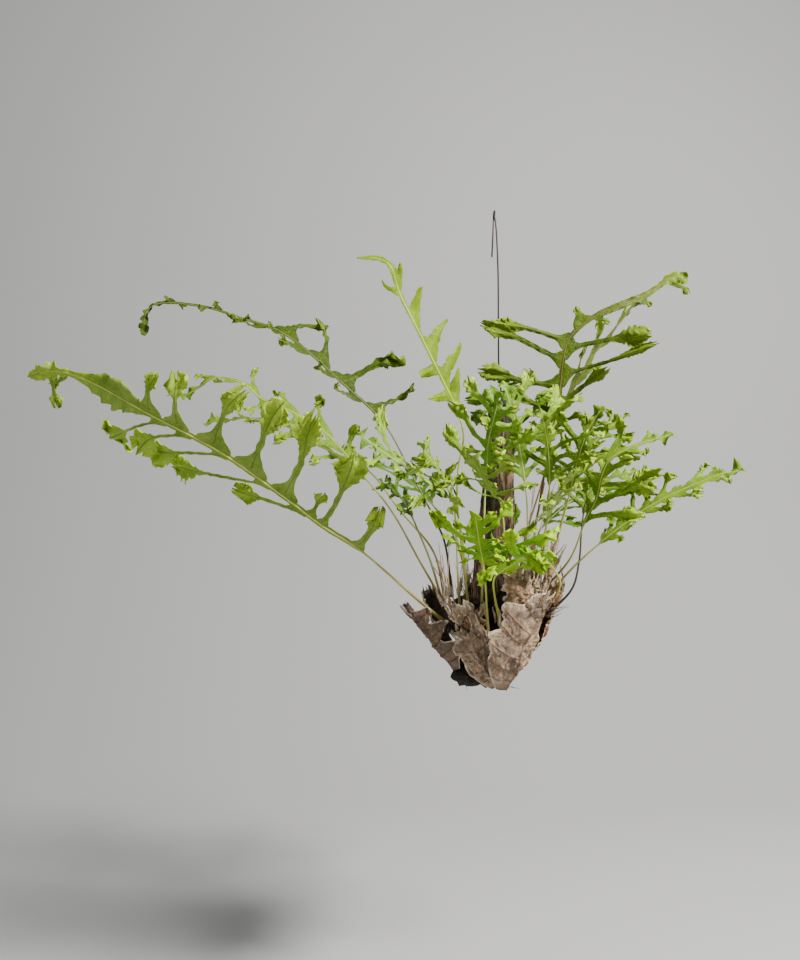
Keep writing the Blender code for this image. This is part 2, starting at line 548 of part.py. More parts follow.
def wood_mount(look):
    wood = loft("wood_mount", rings_along(WOOD_LINE, WOOD_RADII, WOOD_SIDES, WOOD_RINGS, wood_lump), look)
    top = WOOD_LINE[0]
    bpy.ops.mesh.primitive_cylinder_add(
        vertices=12, radius=HOLE_RADIUS, depth=2 * HOLE_DEPTH, location=top)
    drill = bpy.context.object
    drill.name = "wire_hole_cutter"
    drill.hide_render = True
    drill.display_type = "WIRE"
    cut = wood.modifiers.new("Wire hole", "BOOLEAN")
    cut.operation = "DIFFERENCE"
    cut.object = drill
    return wood


def hook_places():
    """The wire's middle line: up from the hole, over the rail and down behind it."""
    top = WOOD_LINE[0]
    foot = (top[0], top[1], top[2] - HOLE_DEPTH + 0.002)
    shaft = [foot, (top[0], top[1], top[2]), (top[0], top[1], top[2] + 0.012),
             (0.0055, -0.002, -0.190), (0.0045, -0.006, -0.140), (0.0040, -0.0085, -0.080),
             (0.0020, -HOOK_RADIUS, -0.030), (0.0, -HOOK_RADIUS, WIRE_RADIUS - HOOK_RADIUS)]
    places = [place for place in smooth_route(shaft, steps=6)]
    for k in range(1, 12):
        angle = math.pi * (1 - k / 12)
        places.append((0.0, HOOK_RADIUS * math.cos(angle),
                       WIRE_RADIUS - HOOK_RADIUS + HOOK_RADIUS * math.sin(angle)))
    tail = HOOK_TAIL - HOOK_RADIUS
    for k in range(7):
        share = k / 6
        places.append((-0.002 * share, HOOK_RADIUS - 0.001 * math.sin(math.pi * share),
                       WIRE_RADIUS - HOOK_RADIUS - tail * share))
    return places


def rhizome(look):
    def lump(angle, fraction):
        ends = min(1.0, 0.45 + 9 * fraction, 0.45 + 9 * (1 - fraction))
        return ends * (1.0 + 0.08 * math.sin(26 * fraction) + 0.06 * math.sin(3 * angle + 11 * fraction))
    rings = rings_along(RHIZOME_LINE, [RHIZOME_RADIUS], RHIZOME_SIDES, RHIZOME_RINGS, lump)
    return loft("rhizome", rings, look)


def main():
    clear_scene()
    bark = material("bark", (0.20, 0.13, 0.08), 0.90)
    wire = material("dark_steel_wire", (0.05, 0.05, 0.05), 0.45, 1.0)
    scales = material("rhizome_scales", (0.10, 0.06, 0.04), 0.95)
    paper = material("dry_nest_frond", (0.42, 0.31, 0.22), 0.85)
    dead = material("dead_stalk", (0.35, 0.22, 0.12), 0.80)
    green = material("fern_green", (0.22, 0.42, 0.06), 0.50)
    wood_mount(bark)
    tube("hanger_wire", hook_places(), WIRE_RADIUS, wire)
    rhizome(scales)
    for name, shape in NEST_FRONDS.items():
        nest_frond(name, paper, **shape)
    for name, points in DEAD_STALKS.items():
        tube(name, smooth_route(points, steps=5), DEAD_STALK_RADIUS, dead)
    for name, shape in FRONDS.items():
        frond(name, green, **shape)


main()
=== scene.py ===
"""The looks of the mounted oak leaf fern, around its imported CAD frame.

Metres, +Z up, the front is -Y. Every leaf is one sheet of lamina with a round
midrib, built from its route, its lobes and a seed.
"""

import math

import bpy
import numpy as np
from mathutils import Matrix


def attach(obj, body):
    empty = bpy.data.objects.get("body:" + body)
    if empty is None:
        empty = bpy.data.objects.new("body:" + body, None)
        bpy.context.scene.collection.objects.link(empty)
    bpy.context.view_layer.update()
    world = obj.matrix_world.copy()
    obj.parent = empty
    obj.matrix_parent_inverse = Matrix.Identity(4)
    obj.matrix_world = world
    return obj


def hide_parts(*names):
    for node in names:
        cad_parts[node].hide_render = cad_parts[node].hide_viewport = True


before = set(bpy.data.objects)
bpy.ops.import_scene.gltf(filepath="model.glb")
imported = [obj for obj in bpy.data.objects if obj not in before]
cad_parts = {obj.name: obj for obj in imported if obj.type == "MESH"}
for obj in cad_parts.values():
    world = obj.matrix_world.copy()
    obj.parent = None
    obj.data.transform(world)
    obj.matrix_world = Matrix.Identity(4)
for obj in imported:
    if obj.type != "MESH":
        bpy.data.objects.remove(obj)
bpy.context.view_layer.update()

# --- Sizes ---------------------------------------------------------------------

LEAF_HALF_THICKNESS = 0.00020
LEAF_TILES_PER_METRE = 20
WING_COLUMNS = 9
STEP_ALONG_MIDRIB = 0.0015
STEP_ALONG_LOBE = 0.0017
WING_HALF_WIDTH = 0.0036
MIDRIB_BASE_RADIUS = 0.0016
MIDRIB_BLADE_RADIUS = 0.0010
MIDRIB_TIP_RADIUS = 0.00045
MIDRIB_ROW_STEP = 0.004
MIDRIB_SIDES = 8
STALK_FOOT_SWELL = 0.0013
RIBBON_HALF_WIDTH = 0.0042
WIDEST_WEB = 0.026
WIDEST_CREST = 0.0125
LONGEST_FINGER = 0.009
PAPER_HALF_THICKNESS = 0.00028

# --- How lobes are cut --------------------------------------------------------------

# web and ribbon scale a lobe's base and middle widths, crest the width near its end,
# teeth and ruffle how ragged and wavy its edges are, fingers how deep its end is cut,
# curl how far its end rolls, end how ragged the frond's own tip is, wing the lamina
# along the midrib, point how far a lobe narrows to its end, fold how far it is folded
# at its vein, and extra whether short lobes grow between the listed ones.
STYLES = {
    "ribbon": dict(web=1.0, ribbon=0.72, crest=1.15, teeth=0.46, ruffle=0.42, fingers=1.6, curl=0.22,
                   end=0.12, wing=1.0, point=0.0, fold=0.1, extra=False),
    "wiry": dict(web=0.75, ribbon=0.62, crest=0.80, teeth=0.36, ruffle=1.0, fingers=0.9, curl=1.2,
                 end=0.8, wing=0.62, point=0.0, fold=0.2, extra=False),
    "calm": dict(web=1.15, ribbon=0.62, crest=0.75, teeth=0.26, ruffle=0.6, fingers=0.9, curl=0.25,
                 end=0.25, wing=0.85, point=0.0, fold=0.2, extra=False),
    "leafy": dict(web=0.70, ribbon=1.60, crest=1.0, teeth=0.05, ruffle=0.4, fingers=0.0, curl=0.35,
                  end=0.15, wing=0.9, point=0.6, fold=0.75, extra=False),
    "broad": dict(web=1.15, ribbon=0.66, crest=0.90, teeth=0.40, ruffle=0.75, fingers=1.3, curl=0.7,
                  end=0.8, wing=1.0, point=0.0, fold=0.35, extra=True),
    "slender": dict(web=0.9, ribbon=0.62, crest=0.95, teeth=0.45, ruffle=0.9, fingers=1.2, curl=0.6,
                    end=1.0, wing=1.5, point=0.0, fold=0.2, extra=True),
    "frilly": dict(web=0.95, ribbon=0.56, crest=0.80, teeth=0.46, ruffle=0.85, fingers=1.4, curl=0.7,
                   end=0.8, wing=0.9, point=0.0, fold=0.3, extra=True),
    "lacy": dict(web=0.80, ribbon=0.90, crest=0.95, teeth=0.50, ruffle=0.8, fingers=1.3, curl=0.5,
                 end=1.2, wing=1.2, point=0.0, fold=0.2, extra=True),
}

# --- Where the fronds run --------------------------------------------------------


def mm(*places):
    """Places written in millimetres, in metres."""
    return [tuple(number / 1000 for number in place) for place in places]


def alternating(side, sweep, bend, lift, places, lengths):
    """Lobes that take turns on the two sides, all at the same angles."""
    return [(place, side * (-1) ** k, length, sweep, bend, lift)
            for k, (place, length) in enumerate(zip(places, lengths))]


# route: the stalk and midrib, as in the CAD part. face: where the upper side looks.
# blade: where along the route the blade starts. look: which leaf colours it takes, some of them lightened as
# painted light or darkened as painted shade.
# lobes: place along the route, side, length, angle towards the tip where the lobe
# leaves the midrib, how much further it bends, how far it lifts (degrees), and, where
# it isn't cut like the rest, the scales of its web and ribbon, and of its crest.
# tip: half widths past the last lobe. rib: how thick its midrib is, against the rest.
# style: how its lobes are cut and crumpled.
FRONDS = {
    "left_long": dict(
        route=mm((-62, -28, -496), (-100, -35, -464), (-160, -55, -410), (-205, -65, -380),
                 (-250, -75, -345), (-320, -85, -295), (-405, -80, -250), (-470, -65, -215),
                 (-515, -55, -200), (-555, -40, -205)),
        face=(0.20, 0.85, 0.45), blade=0.20, look="sunny", style="ribbon", rib=1.25,
        tip=[(0.735, 0.008), (0.765, 0.015), (0.79, 0.020), (0.825, 0.018), (0.86, 0.009),
             (0.885, 0.005), (0.905, 0.004), (0.925, 0.007), (0.95, 0.010), (0.975, 0.009),
             (0.99, 0.005), (1.0, 0.0008)],
        lobes=[(0.235, -1, 0.052, 0, 20, 0), (0.317, -1, 0.092, 2, 22, 5, 1.0, 1.3),
               (0.345, -1, 0.030, 12, 0, 10, 0.6, 1.4), (0.37, 1, 0.088, 64, -14, 20, 0.5, 1.0),
               (0.412, -1, 0.104, 8, 10, 0, 1.0, 1.1), (0.457, 1, 0.140, 60, -22, 20, 0.42, 1.2),
               (0.493, -1, 0.086, 10, 0, 5, 1.0, 1.2), (0.555, 1, 0.118, 60, -22, 20, 0.42, 1.3),
               (0.575, -1, 0.078, 10, -34, 0, 1.0, 1.1), (0.635, 1, 0.084, 58, -30, 20, 0.45, 1.35),
               (0.655, -1, 0.056, 20, 15, 10, 0.9, 1.3), (0.69, 1, 0.100, 56, -30, 15, 0.45, 1.35),
               (0.715, -1, 0.046, 30, -50, 0, 0.9, 1.0), (0.915, 1, 0.022, 40, 40, 10, 0.7, 1.0),
               (0.945, 1, 0.030, 25, -30, -10, 0.8, 1.1)]),
    "left_arching": dict(
        route=mm((-50, 26, -472), (-58, 30, -410), (-72, 36, -375), (-100, 50, -320), (-135, 70, -255),
                 (-185, 90, -205), (-265, 110, -135), (-330, 120, -110), (-375, 125, -95),
                 (-430, 120, -90), (-452, 115, -102), (-456, 110, -135)),
        face=(0.30, -0.75, 0.50), blade=0.34, look="dark", style="wiry",
        tip=[(0.905, 0.0030), (0.94, 0.0024), (0.965, 0.0045), (0.985, 0.0065), (1.0, 0.0030)],
        lobes=[(0.40, 1, 0.070, 18, -60, 10, 1.3, 0.8), (0.45, -1, 0.036, 45, 20, 20),
               (0.49, 1, 0.088, 0, -50, 15, 1.2, 1.2), (0.52, -1, 0.030, 40, 20, 30),
               (0.56, 1, 0.062, 2, 95, 10, 1.0, 0.8), (0.60, -1, 0.034, 40, 20, 30, 1.2, 1.2),
               (0.645, 1, 0.066, 12, -115, 10, 1.0, 0.7), (0.665, -1, 0.020, 50, 30, 60, 1.2, 1.6),
               (0.70, -1, 0.034, 60, 10, 30), (0.75, -1, 0.022, 20, -20, 50, 1.4, 1.6),
               (0.80, 1, 0.012, 60, 0, 60), (0.83, -1, 0.018, 0, -20, 50, 1.0, 1.4),
               (0.87, -1, 0.016, 0, -20, 50), (0.895, 1, 0.010, 50, 0, 40, 1.4, 1.4)]),
    "young_bright": dict(
        route=mm((-32, -34, -496), (-46, -36, -365), (-46, -38, -315), (-40, -40, -275),
                 (-50, -45, -240), (-65, -50, -210), (-90, -55, -160), (-115, -55, -110),
                 (-125, -60, -80), (-140, -60, -70), (-165, -65, -70)),
        face=(0.50, -0.70, 0.40), blade=0.50, look="lime", style="leafy",
        tip=[(0.90, 0.0060), (0.93, 0.0044), (0.965, 0.0032), (0.985, 0.0024), (1.0, 0.0008)],
        lobes=[(0.545, 1, 0.044, 50, 10, 10), (0.57, -1, 0.036, 20, -10, 10, 0.8, 0.8),
               (0.612, 1, 0.062, 22, 12, 0), (0.64, -1, 0.030, 10, -20, 0, 0.8, 0.8),
               (0.69, 1, 0.054, 18, 14, 0, 0.95, 0.95), (0.775, 1, 0.044, 34, 20, 10),
               (0.85, -1, 0.026, 34, 10, 0, 0.45, 0.45), (0.865, 1, 0.026, 50, 24, 10)]),
    "right_high": dict(
        route=mm((49, 22, -462), (50, 4, -390), (56, -5, -350), (66, -15, -280), (74, -20, -250),
                 (77, -25, -210), (80, -30, -180), (87, -30, -158), (110, -30, -136), (145, -30, -120),
                 (180, -25, -105), (210, -20, -85), (232, -15, -84)),
        face=(0.00, -1.00, 0.15), blade=0.40, look="olive_painted_shade", style="calm",
        tip=[(0.75, 0.0042), (0.80, 0.0046), (0.87, 0.0042), (0.90, 0.0034),
             (0.925, 0.0032), (0.95, 0.0060), (0.975, 0.0080), (0.992, 0.0080), (1.0, 0.0030)],
        lobes=[(0.435, 1, 0.032, 42, 0, 20, 0.7, 0.8), (0.458, -1, 0.055, 16, 11, 0, 1.0, 0.9),
               (0.485, 1, 0.068, 45, 0, 20, 0.8, 0.8), (0.53, -1, 0.093, 0, 12, 0),
               (0.555, 1, 0.112, 24, 4, 20, 0.75, 0.45), (0.595, -1, 0.101, 15, 10, 0),
               (0.625, 1, 0.096, 25, -6, 20, 0.9, 1.25), (0.642, -1, 0.088, -6, -10, 0),
               (0.70, -1, 0.018, 20, 0, 20, 1.4, 1.4), (0.74, 1, 0.014, 40, 0, 0),
               (0.86, 1, 0.012, 40, 0, 0), (0.955, 1, 0.020, 35, 0, 0, 1.4, 1.6)]),
    "right_behind": dict(
        route=mm((36, 42, -452), (44, 50, -400), (68, 60, -325), (85, 66, -250), (115, 72, -200),
                 (140, 80, -160), (165, 85, -130), (190, 90, -100), (212, 95, -84)),
        face=(-0.75, 0.45, 0.45), blade=0.45, look="olive_painted_shade", style="calm",
        lobes=[(0.50, 1, 0.040, 35, 10, 0), (0.56, -1, 0.045, 35, 10, 0),
               (0.62, 1, 0.056, 35, 10, 0, 1.3, 1.0), (0.68, -1, 0.044, 35, 10, 0),
               (0.73, 1, 0.050, 35, 0, 0, 1.0, 1.7), (0.80, -1, 0.026, 35, 10, 0),
               (0.88, 1, 0.018, 35, 10, 0)]),
    "right_low": dict(
        route=mm((65, -8, -466), (100, -20, -425), (145, -30, -385), (185, -40, -355), (235, -50, -330),
                 (260, -55, -320), (288, -60, -315)),
        face=(-0.30, -0.60, 0.74), blade=0.30, look="mature", style="slender",
        lobes=[(0.38, -1, 0.020, 40, 0, 10), (0.44, 1, 0.016, 40, 0, 10), (0.50, -1, 0.034, 30, 20, 10),
               (0.57, 1, 0.018, 40, 0, 10), (0.64, -1, 0.022, 40, 0, 10), (0.71, 1, 0.018, 40, 0, 10),
               (0.79, -1, 0.020, 40, 0, 10), (0.86, 1, 0.016, 40, 0, 10)]),
    "right_middle": dict(
        route=mm((58, -12, -460), (86, -40, -420), (100, -60, -375), (110, -75, -350), (116, -82, -320),
                 (128, -86, -300), (160, -90, -285), (196, -90, -275)),
        face=(-0.35, -0.75, 0.55), blade=0.36, look="mature", style="wiry",
        lobes=[(0.43, 1, 0.080, 48, -10, 0), (0.47, -1, 0.030, 35, 0, 10), (0.51, 1, 0.094, 55, -5, 0),
               (0.58, -1, 0.036, 35, 0, 10), (0.66, 1, 0.034, 40, 0, 10), (0.74, -1, 0.044, 40, 10, 10),
               (0.81, 1, 0.024, 35, 10, 0), (0.88, -1, 0.018, 35, 10, 0)]),
    "right_upper": dict(
        route=mm((62, 14, -456), (76, -5, -400), (88, -15, -350), (94, -32, -312), (102, -42, -280),
                 (112, -46, -258), (124, -50, -240)),
        face=(-0.20, -0.90, 0.35), blade=0.50, look="mature", style="frilly",
        lobes=[(0.56, 1, 0.060, 20, 10, 0), (0.63, -1, 0.034, 30, 0, 0), (0.70, 1, 0.046, 30, 10, 0),
               (0.78, -1, 0.026, 30, 0, 0), (0.86, 1, 0.024, 30, 0, 0)]),
    "right_dark_stalk": dict(
        route=mm((62, -22, -488), (90, -26, -458), (101, -15, -425), (106, -3, -390), (112, 8, -360),
                 (122, 16, -340), (146, 26, -325), (186, 32, -316)),
        face=(-0.30, -0.55, 0.78), blade=0.55, look="sooty", style="frilly",
        lobes=alternating(1, 30, 10, 0, (0.60, 0.66, 0.73, 0.80, 0.88),
                          (0.044, 0.050, 0.044, 0.034, 0.022))),
    "front_left": dict(
        route=mm((-12, -52, -506), (-15, -66, -465), (-18, -80, -440), (-22, -100, -418),
                 (-27, -125, -400), (-32, -150, -380), (-36, -170, -362)),
        face=(-0.10, -0.10, 1.00), blade=0.48, look="young", style="lacy",
        lobes=[(0.54, -1, 0.050, 25, 0, 0), (0.60, 1, 0.034, 30, 0, 0), (0.67, -1, 0.055, 25, 0, 0),
               (0.75, 1, 0.036, 30, 0, 0), (0.83, -1, 0.034, 30, 0, 0)]),
    "front_right": dict(
        route=mm((4, -52, -503), (-6, -70, -460), (-8, -90, -438), (2, -115, -425), (15, -140, -412),
                 (30, -160, -400)),
        face=(0.10, -0.10, 1.00), blade=0.50, look="young", style="lacy",
        lobes=[(0.57, 1, 0.040, 25, 0, 0), (0.63, -1, 0.026, 30, 0, 0), (0.70, 1, 0.044, 25, 0, 0),
               (0.78, -1, 0.026, 30, 0, 0), (0.86, 1, 0.030, 30, 0, 0)]),
    "centre_star": dict(
        route=mm((14, -40, -496), (4, -60, -365), (-8, -80, -345), (-18, -100, -330), (-30, -128, -314),
                 (-40, -150, -300)),
        face=(0.00, -0.35, 0.95), blade=0.56, look="mature", style="frilly",
        lobes=[(0.62, 1, 0.028, 20, 0, 0), (0.68, -1, 0.040, 20, 0, 0), (0.75, 1, 0.040, 25, 0, 0),
               (0.82, -1, 0.030, 30, 0, 0), (0.89, 1, 0.022, 30, 0, 0)]),
    "centre_high": dict(
        route=mm((-20, -50, -502), (-16, -54, -350), (-14, -62, -305), (-13, -76, -280), (-8, -88, -255),
                 (-6, -94, -238), (-20, -100, -225)),
        face=(-0.20, -0.90, 0.30), blade=0.60, look="pale", style="broad",
        lobes=[(0.64, -1, 0.050, 20, 10, 0), (0.69, 1, 0.040, 30, 10, 0), (0.75, -1, 0.050, 25, 10, 0),
               (0.81, 1, 0.036, 30, 10, 0), (0.88, -1, 0.030, 30, 10, 0)]),
    "centre_pale": dict(
        route=mm((34, -36, -494), (36, -36, -400), (34, -44, -345), (24, -52, -285), (18, -56, -255),
                 (12, -60, -236), (4, -64, -212)),
        face=(0.25, -0.85, 0.35), blade=0.56, look="pale", style="broad",
        lobes=[(0.61, 1, 0.052, 25, 10, 0), (0.67, -1, 0.036, 30, 10, 0), (0.73, 1, 0.056, 25, 10, 0),
               (0.80, -1, 0.036, 30, 10, 0), (0.88, 1, 0.034, 30, 10, 0)]),
    "left_grey": dict(
        route=mm((-44, -36, -498), (-50, -52, -375), (-56, -62, -350), (-82, -80, -330),
                 (-107, -100, -314), (-135, -120, -295), (-162, -130, -275)),
        face=(0.15, -0.60, 0.75), blade=0.50, look="pale", style="frilly",
        lobes=[(0.55, 1, 0.036, 35, 0, 0), (0.61, -1, 0.036, 30, 0, 0), (0.67, 1, 0.044, 30, 0, 0),
               (0.74, -1, 0.038, 30, 0, 0), (0.80, 1, 0.038, 30, 0, 0), (0.87, -1, 0.026, 30, 0, 0)]),
    "right_centre": dict(
        route=mm((44, -26, -482), (54, -46, -395), (60, -66, -362), (66, -88, -340), (76, -110, -322),
                 (88, -130, -312)),
        face=(-0.10, -0.45, 0.88), blade=0.52, look="mature", style="frilly",
        lobes=[(0.58, 1, 0.044, 25, 0, 0), (0.65, -1, 0.042, 25, 0, 0), (0.72, 1, 0.044, 25, 0, 0),
               (0.79, -1, 0.034, 30, 0, 0), (0.87, 1, 0.024, 30, 0, 0)]),
    "back_centre": dict(
        route=mm((12, 48, -458), (20, 50, -380), (26, 60, -290), (26, 70, -225), (18, 80, -185)),
        face=(-0.10, -0.85, 0.50), blade=0.55, look="shaded", style="frilly",
        lobes=alternating(1, 30, 0, 0, (0.61, 0.67, 0.73, 0.80, 0.88),
                          (0.050, 0.050, 0.046, 0.036, 0.024))),
    "left_middle": dict(
        route=mm((-60, 6, -480), (-92, -4, -424), (-125, -10, -365), (-165, -15, -315),
                 (-205, -20, -270), (-245, -20, -245), (-280, -20, -230), (-305, -20, -210),
                 (-340, -20, -205), (-366, -20, -222), (-395, -20, -226)),
        face=(0.20, -0.55, 0.80), blade=0.42, look="mature", style="wiry",
        lobes=alternating(1, 30, 10, 0, (0.46, 0.51, 0.56, 0.61, 0.66, 0.71, 0.76, 0.82, 0.88),
                          (0.046, 0.044, 0.054, 0.044, 0.044, 0.036, 0.034, 0.026, 0.024))),
    "left_lower": dict(
        route=mm((-60, 16, -470), (-74, 20, -415), (-115, 25, -365), (-155, 30, -315), (-215, 35, -285),
                 (-275, 45, -252), (-330, 50, -250), (-366, 50, -256)),
        face=(0.15, -0.35, 0.92), blade=0.44, look="mature", style="wiry",
        lobes=alternating(1, 30, 10, 0, (0.49, 0.55, 0.61, 0.67, 0.73, 0.80, 0.87),
                          (0.046, 0.044, 0.050, 0.044, 0.040, 0.030, 0.024))),
    "back_left": dict(
        route=mm((-26, 56, -466), (-45, 80, -400), (-85, 120, -345), (-130, 160, -310),
                 (-180, 185, -300)),
        face=(0.30, -0.25, 0.90), blade=0.44, look="shaded", style="frilly",
        lobes=alternating(1, 30, 10, 0, (0.50, 0.57, 0.64, 0.71, 0.78, 0.86),
                          (0.040, 0.036, 0.040, 0.032, 0.030, 0.018))),
    "back_right": dict(
        route=mm((30, 50, -462), (50, 85, -420), (85, 120, -380), (130, 150, -350), (180, 170, -345)),
        face=(-0.30, -0.25, 0.90), blade=0.42, look="shaded", style="frilly",
        lobes=alternating(1, 30, 10, 0, (0.48, 0.55, 0.62, 0.70, 0.78, 0.86),
                          (0.034, 0.040, 0.032, 0.036, 0.018, 0.020))),
    "centre_left": dict(
        route=mm((-34, -38, -498), (-40, -58, -420), (-48, -74, -370), (-62, -92, -335),
                 (-80, -112, -305), (-96, -126, -285)),
        face=(0.10, -0.55, 0.82), blade=0.54, look="mature", style="frilly",
        lobes=[(0.60, 1, 0.040, 25, 0, 0), (0.66, -1, 0.036, 30, 0, 0), (0.73, 1, 0.040, 25, 0, 0),
               (0.80, -1, 0.030, 30, 0, 0), (0.87, 1, 0.024, 30, 0, 0)]),
    "right_inner": dict(
        route=mm((52, -16, -470), (58, -26, -400), (62, -36, -340), (58, -54, -295), (50, -74, -262),
                 (42, -92, -240)),
        face=(-0.05, -0.80, 0.60), blade=0.54, look="mature", style="frilly",
        lobes=alternating(1, 30, 0, 0, (0.60, 0.67, 0.73, 0.80, 0.87),
                          (0.042, 0.030, 0.044, 0.028, 0.030))),
    "right_arching": dict(
        route=mm((70, -30, -466), (74, -40, -448), (64, -50, -430), (48, -66, -416), (30, -84, -408),
                 (16, -106, -404)),
        face=(0.05, -0.30, 0.95), blade=0.50, look="young", style="lacy",
        lobes=alternating(1, 30, 0, 0, (0.57, 0.65, 0.73, 0.82), (0.030, 0.028, 0.028, 0.022))),
    "left_short": dict(
        route=mm((-64, -12, -474), (-78, -34, -426), (-94, -50, -386), (-108, -60, -356),
                 (-124, -70, -338), (-140, -78, -326)),
        face=(0.20, -0.50, 0.85), blade=0.62, look="shaded", style="frilly",
        lobes=alternating(1, 30, 0, 0, (0.68, 0.75, 0.83), (0.026, 0.028, 0.020))),
    "right_outer": dict(
        route=mm((66, 16, -452), (82, 34, -400), (98, 46, -350), (118, 54, -302), (146, 62, -266),
                 (180, 64, -242)),
        face=(-0.25, -0.70, 0.66), blade=0.48, look="mature", style="frilly",
        lobes=alternating(1, 35, 0, 0, (0.54, 0.61, 0.68, 0.75, 0.82, 0.89),
                          (0.024, 0.036, 0.024, 0.034, 0.024, 0.018))),
    "back_low": dict(
        route=mm((0, 56, -466), (-2, 95, -420), (-6, 140, -400), (-10, 190, -405)),
        face=(0.00, 0.25, 0.95), blade=0.46, look="shaded", style="frilly",
        lobes=alternating(1, 30, 10, 0, (0.52, 0.60, 0.68, 0.77, 0.86),
                          (0.044, 0.044, 0.044, 0.036, 0.026))),
}

# How a frond without its own tip narrows past its last lobe.
PLAIN_TIP = [(0.92, 0.0048), (0.965, 0.0075), (0.985, 0.0055), (1.0, 0.0008)]

# --- Routes and meshes -----------------------------------------------------------


def unit(vectors):
    return vectors / np.linalg.norm(vectors, axis=-1, keepdims=True)


def smoothstep(x):
    """A soft step from 0 to 1 as x goes from 0 to 1."""
    x = np.clip(x, 0.0, 1.0)
    return x * x * (3.0 - 2.0 * x)


def smooth_route(points, steps=24):
    """A Catmull-Rom curve through the points, as an array of places along it."""
    given = np.array(points, float)
    knots = np.vstack([2 * given[0] - given[1], given, 2 * given[-1] - given[-2]])
    places = []
    for a, b, c, d in zip(knots, knots[1:], knots[2:], knots[3:]):
        for u in np.arange(steps) / steps:
            places.append(0.5 * (2 * b + (c - a) * u + (2 * a - 5 * b + 4 * c - d) * u**2
                                 + (3 * b - a - 3 * c + d) * u**3))
    places.append(given[-1])
    return np.array(places)


def along(curve):
    """The fraction of the curve's length reached at each of its points, and its length."""
    steps = np.linalg.norm(np.diff(curve, axis=0), axis=1)
    return np.concatenate([[0.0], np.cumsum(steps)]) / steps.sum(), steps.sum()


def sampled(points, fractions):
    """Places and directions at these fractions of the smooth route's length."""
    curve = smooth_route(points)
    reached, _ = along(curve)
    places = np.stack([np.interp(fractions, reached, curve[:, k]) for k in range(3)], axis=1)
    slopes = np.gradient(curve, axis=0)
    headings = np.stack([np.interp(fractions, reached, slopes[:, k]) for k in range(3)], axis=1)
    return places, unit(headings)


def waves(seed, count=3, low=1.0, high=3.0):
    """A smooth random function of one number, between about -1 and 1."""
    rng = np.random.default_rng(seed)
    rates = rng.uniform(low, high, count)
    phases = rng.uniform(0, 2 * math.pi, count)
    sizes = rng.uniform(0.5, 1.0, count)

    def value(x):
        x = np.asarray(x, float)
        return sum(s * np.sin(2 * math.pi * r * x + p) for r, p, s in zip(rates, phases, sizes)) / sizes.sum()

    return value


def value_noise(points, scale, seed):
    """Smooth noise between -1 and 1 at points of two or three numbers."""
    spots = np.asarray(points, float) * scale + 1000.0
    cells = np.floor(spots).astype(np.int64)
    parts = smoothstep(spots - cells)
    dims = spots.shape[-1]
    total = np.zeros(spots.shape[:-1])
    for corner in range(2**dims):
        offset = np.array([(corner >> k) & 1 for k in range(dims)])
        at = cells + offset
        mixed = np.full(spots.shape[:-1], seed * 7919 + 13, np.int64)
        for k in range(dims):
            mixed = (mixed * 1103515245 + at[..., k] * (374761393, 668265263, 974711)[k]) & 0x7FFFFFFF
            mixed = (mixed ^ (mixed >> 13)) * 60493 & 0x7FFFFFFF
        weight = np.prod(np.where(offset == 1, parts, 1 - parts), axis=-1)
        total += weight * (mixed / 0x3FFFFFFF - 1.0)
    return total


def layered(points, scale, seed, layers=3):
    """Noise in layers, each twice as fine and half as strong as the one before."""
    return sum(value_noise(points, scale * 2**k, seed + k) / 2**k for k in range(layers)) / 1.6


class Sheet:
    """The points, quads and map coordinates of one open leaf surface."""

    def __init__(self):
        self.points = []
        self.maps = []
        self.quads = []

    def add(self, places, maps):
        """Adds points and gives their numbers, in the shape of the array that held them."""
        first = len(self.points)
        shape = places.shape[:-1]
        self.points.extend(places.reshape(-1, 3))
        self.maps.extend(maps.reshape(-1, 4))
        return np.arange(first, len(self.points)).reshape(shape)

    def grid(self, numbers, keep=None):
        """Quads between the neighbours in a grid of point numbers, where keep says so."""
        low, high = numbers[:-1], numbers[1:]
        quads = np.stack([low[:, :-1], low[:, 1:], high[:, 1:], high[:, :-1]], axis=-1)
        self.quads.extend(quads[keep] if keep is not None else quads.reshape(-1, 4))


def vertex_normals(points, quads):
    """The mean direction that the quads round each point face."""
    crossed = np.cross(points[quads[:, 2]] - points[quads[:, 0]], points[quads[:, 3]] - points[quads[:, 1]])
    normals = np.zeros_like(points)
    for k in range(4):
        np.add.at(normals, quads[:, k], crossed)
    return normals / np.maximum(np.linalg.norm(normals, axis=1, keepdims=True), 1e-12)


def thickened(sheet, half_thickness):
    """Upper side, under side and rim of a sheet, as points, quads, maps and slots."""
    quads = np.array(sheet.quads)
    used, index = np.unique(quads, return_inverse=True)
    quads = index.reshape(-1, 4)
    points = np.array(sheet.points)[used]
    maps = np.array(sheet.maps)[used]
    normals = vertex_normals(points, quads)
    count = len(points)
    edges = np.concatenate([quads[:, [k, (k + 1) % 4]] for k in range(4)])
    keys = np.sort(edges, axis=1) @ np.array([count, 1])
    _, first, seen = np.unique(keys, return_index=True, return_counts=True)
    rim = edges[first[seen == 1]]
    rim_quads = np.stack([rim[:, 1], rim[:, 0], rim[:, 0] + count, rim[:, 1] + count], axis=1)
    both = np.concatenate([points + normals * half_thickness, points - normals * half_thickness])
    faces = np.concatenate([quads, quads[:, ::-1] + count, rim_quads])
    slots = np.concatenate([np.zeros(len(quads), int), np.ones(len(quads), int),
                            np.zeros(len(rim_quads), int)])
    return both, faces, np.concatenate([maps, maps]), slots


def offset_grid(places, *moves):
    """A grid of points: each row's place, moved along its directions by rows of distances."""
    points = places[:, None, :]
    for directions, distances in moves:
        points = points + directions[:, None, :] * distances[..., None]
    return points


def leaf_maps(points, across, height, growth, place=0.0):
    """The four map values at the points of a grid; across runs from -1 to 1."""
    maps = np.zeros(points.shape[:2] + (4,))
    for column, values in enumerate((0.5 + 0.5 * across, height, growth, place)):
        maps[..., column] = values
    return maps


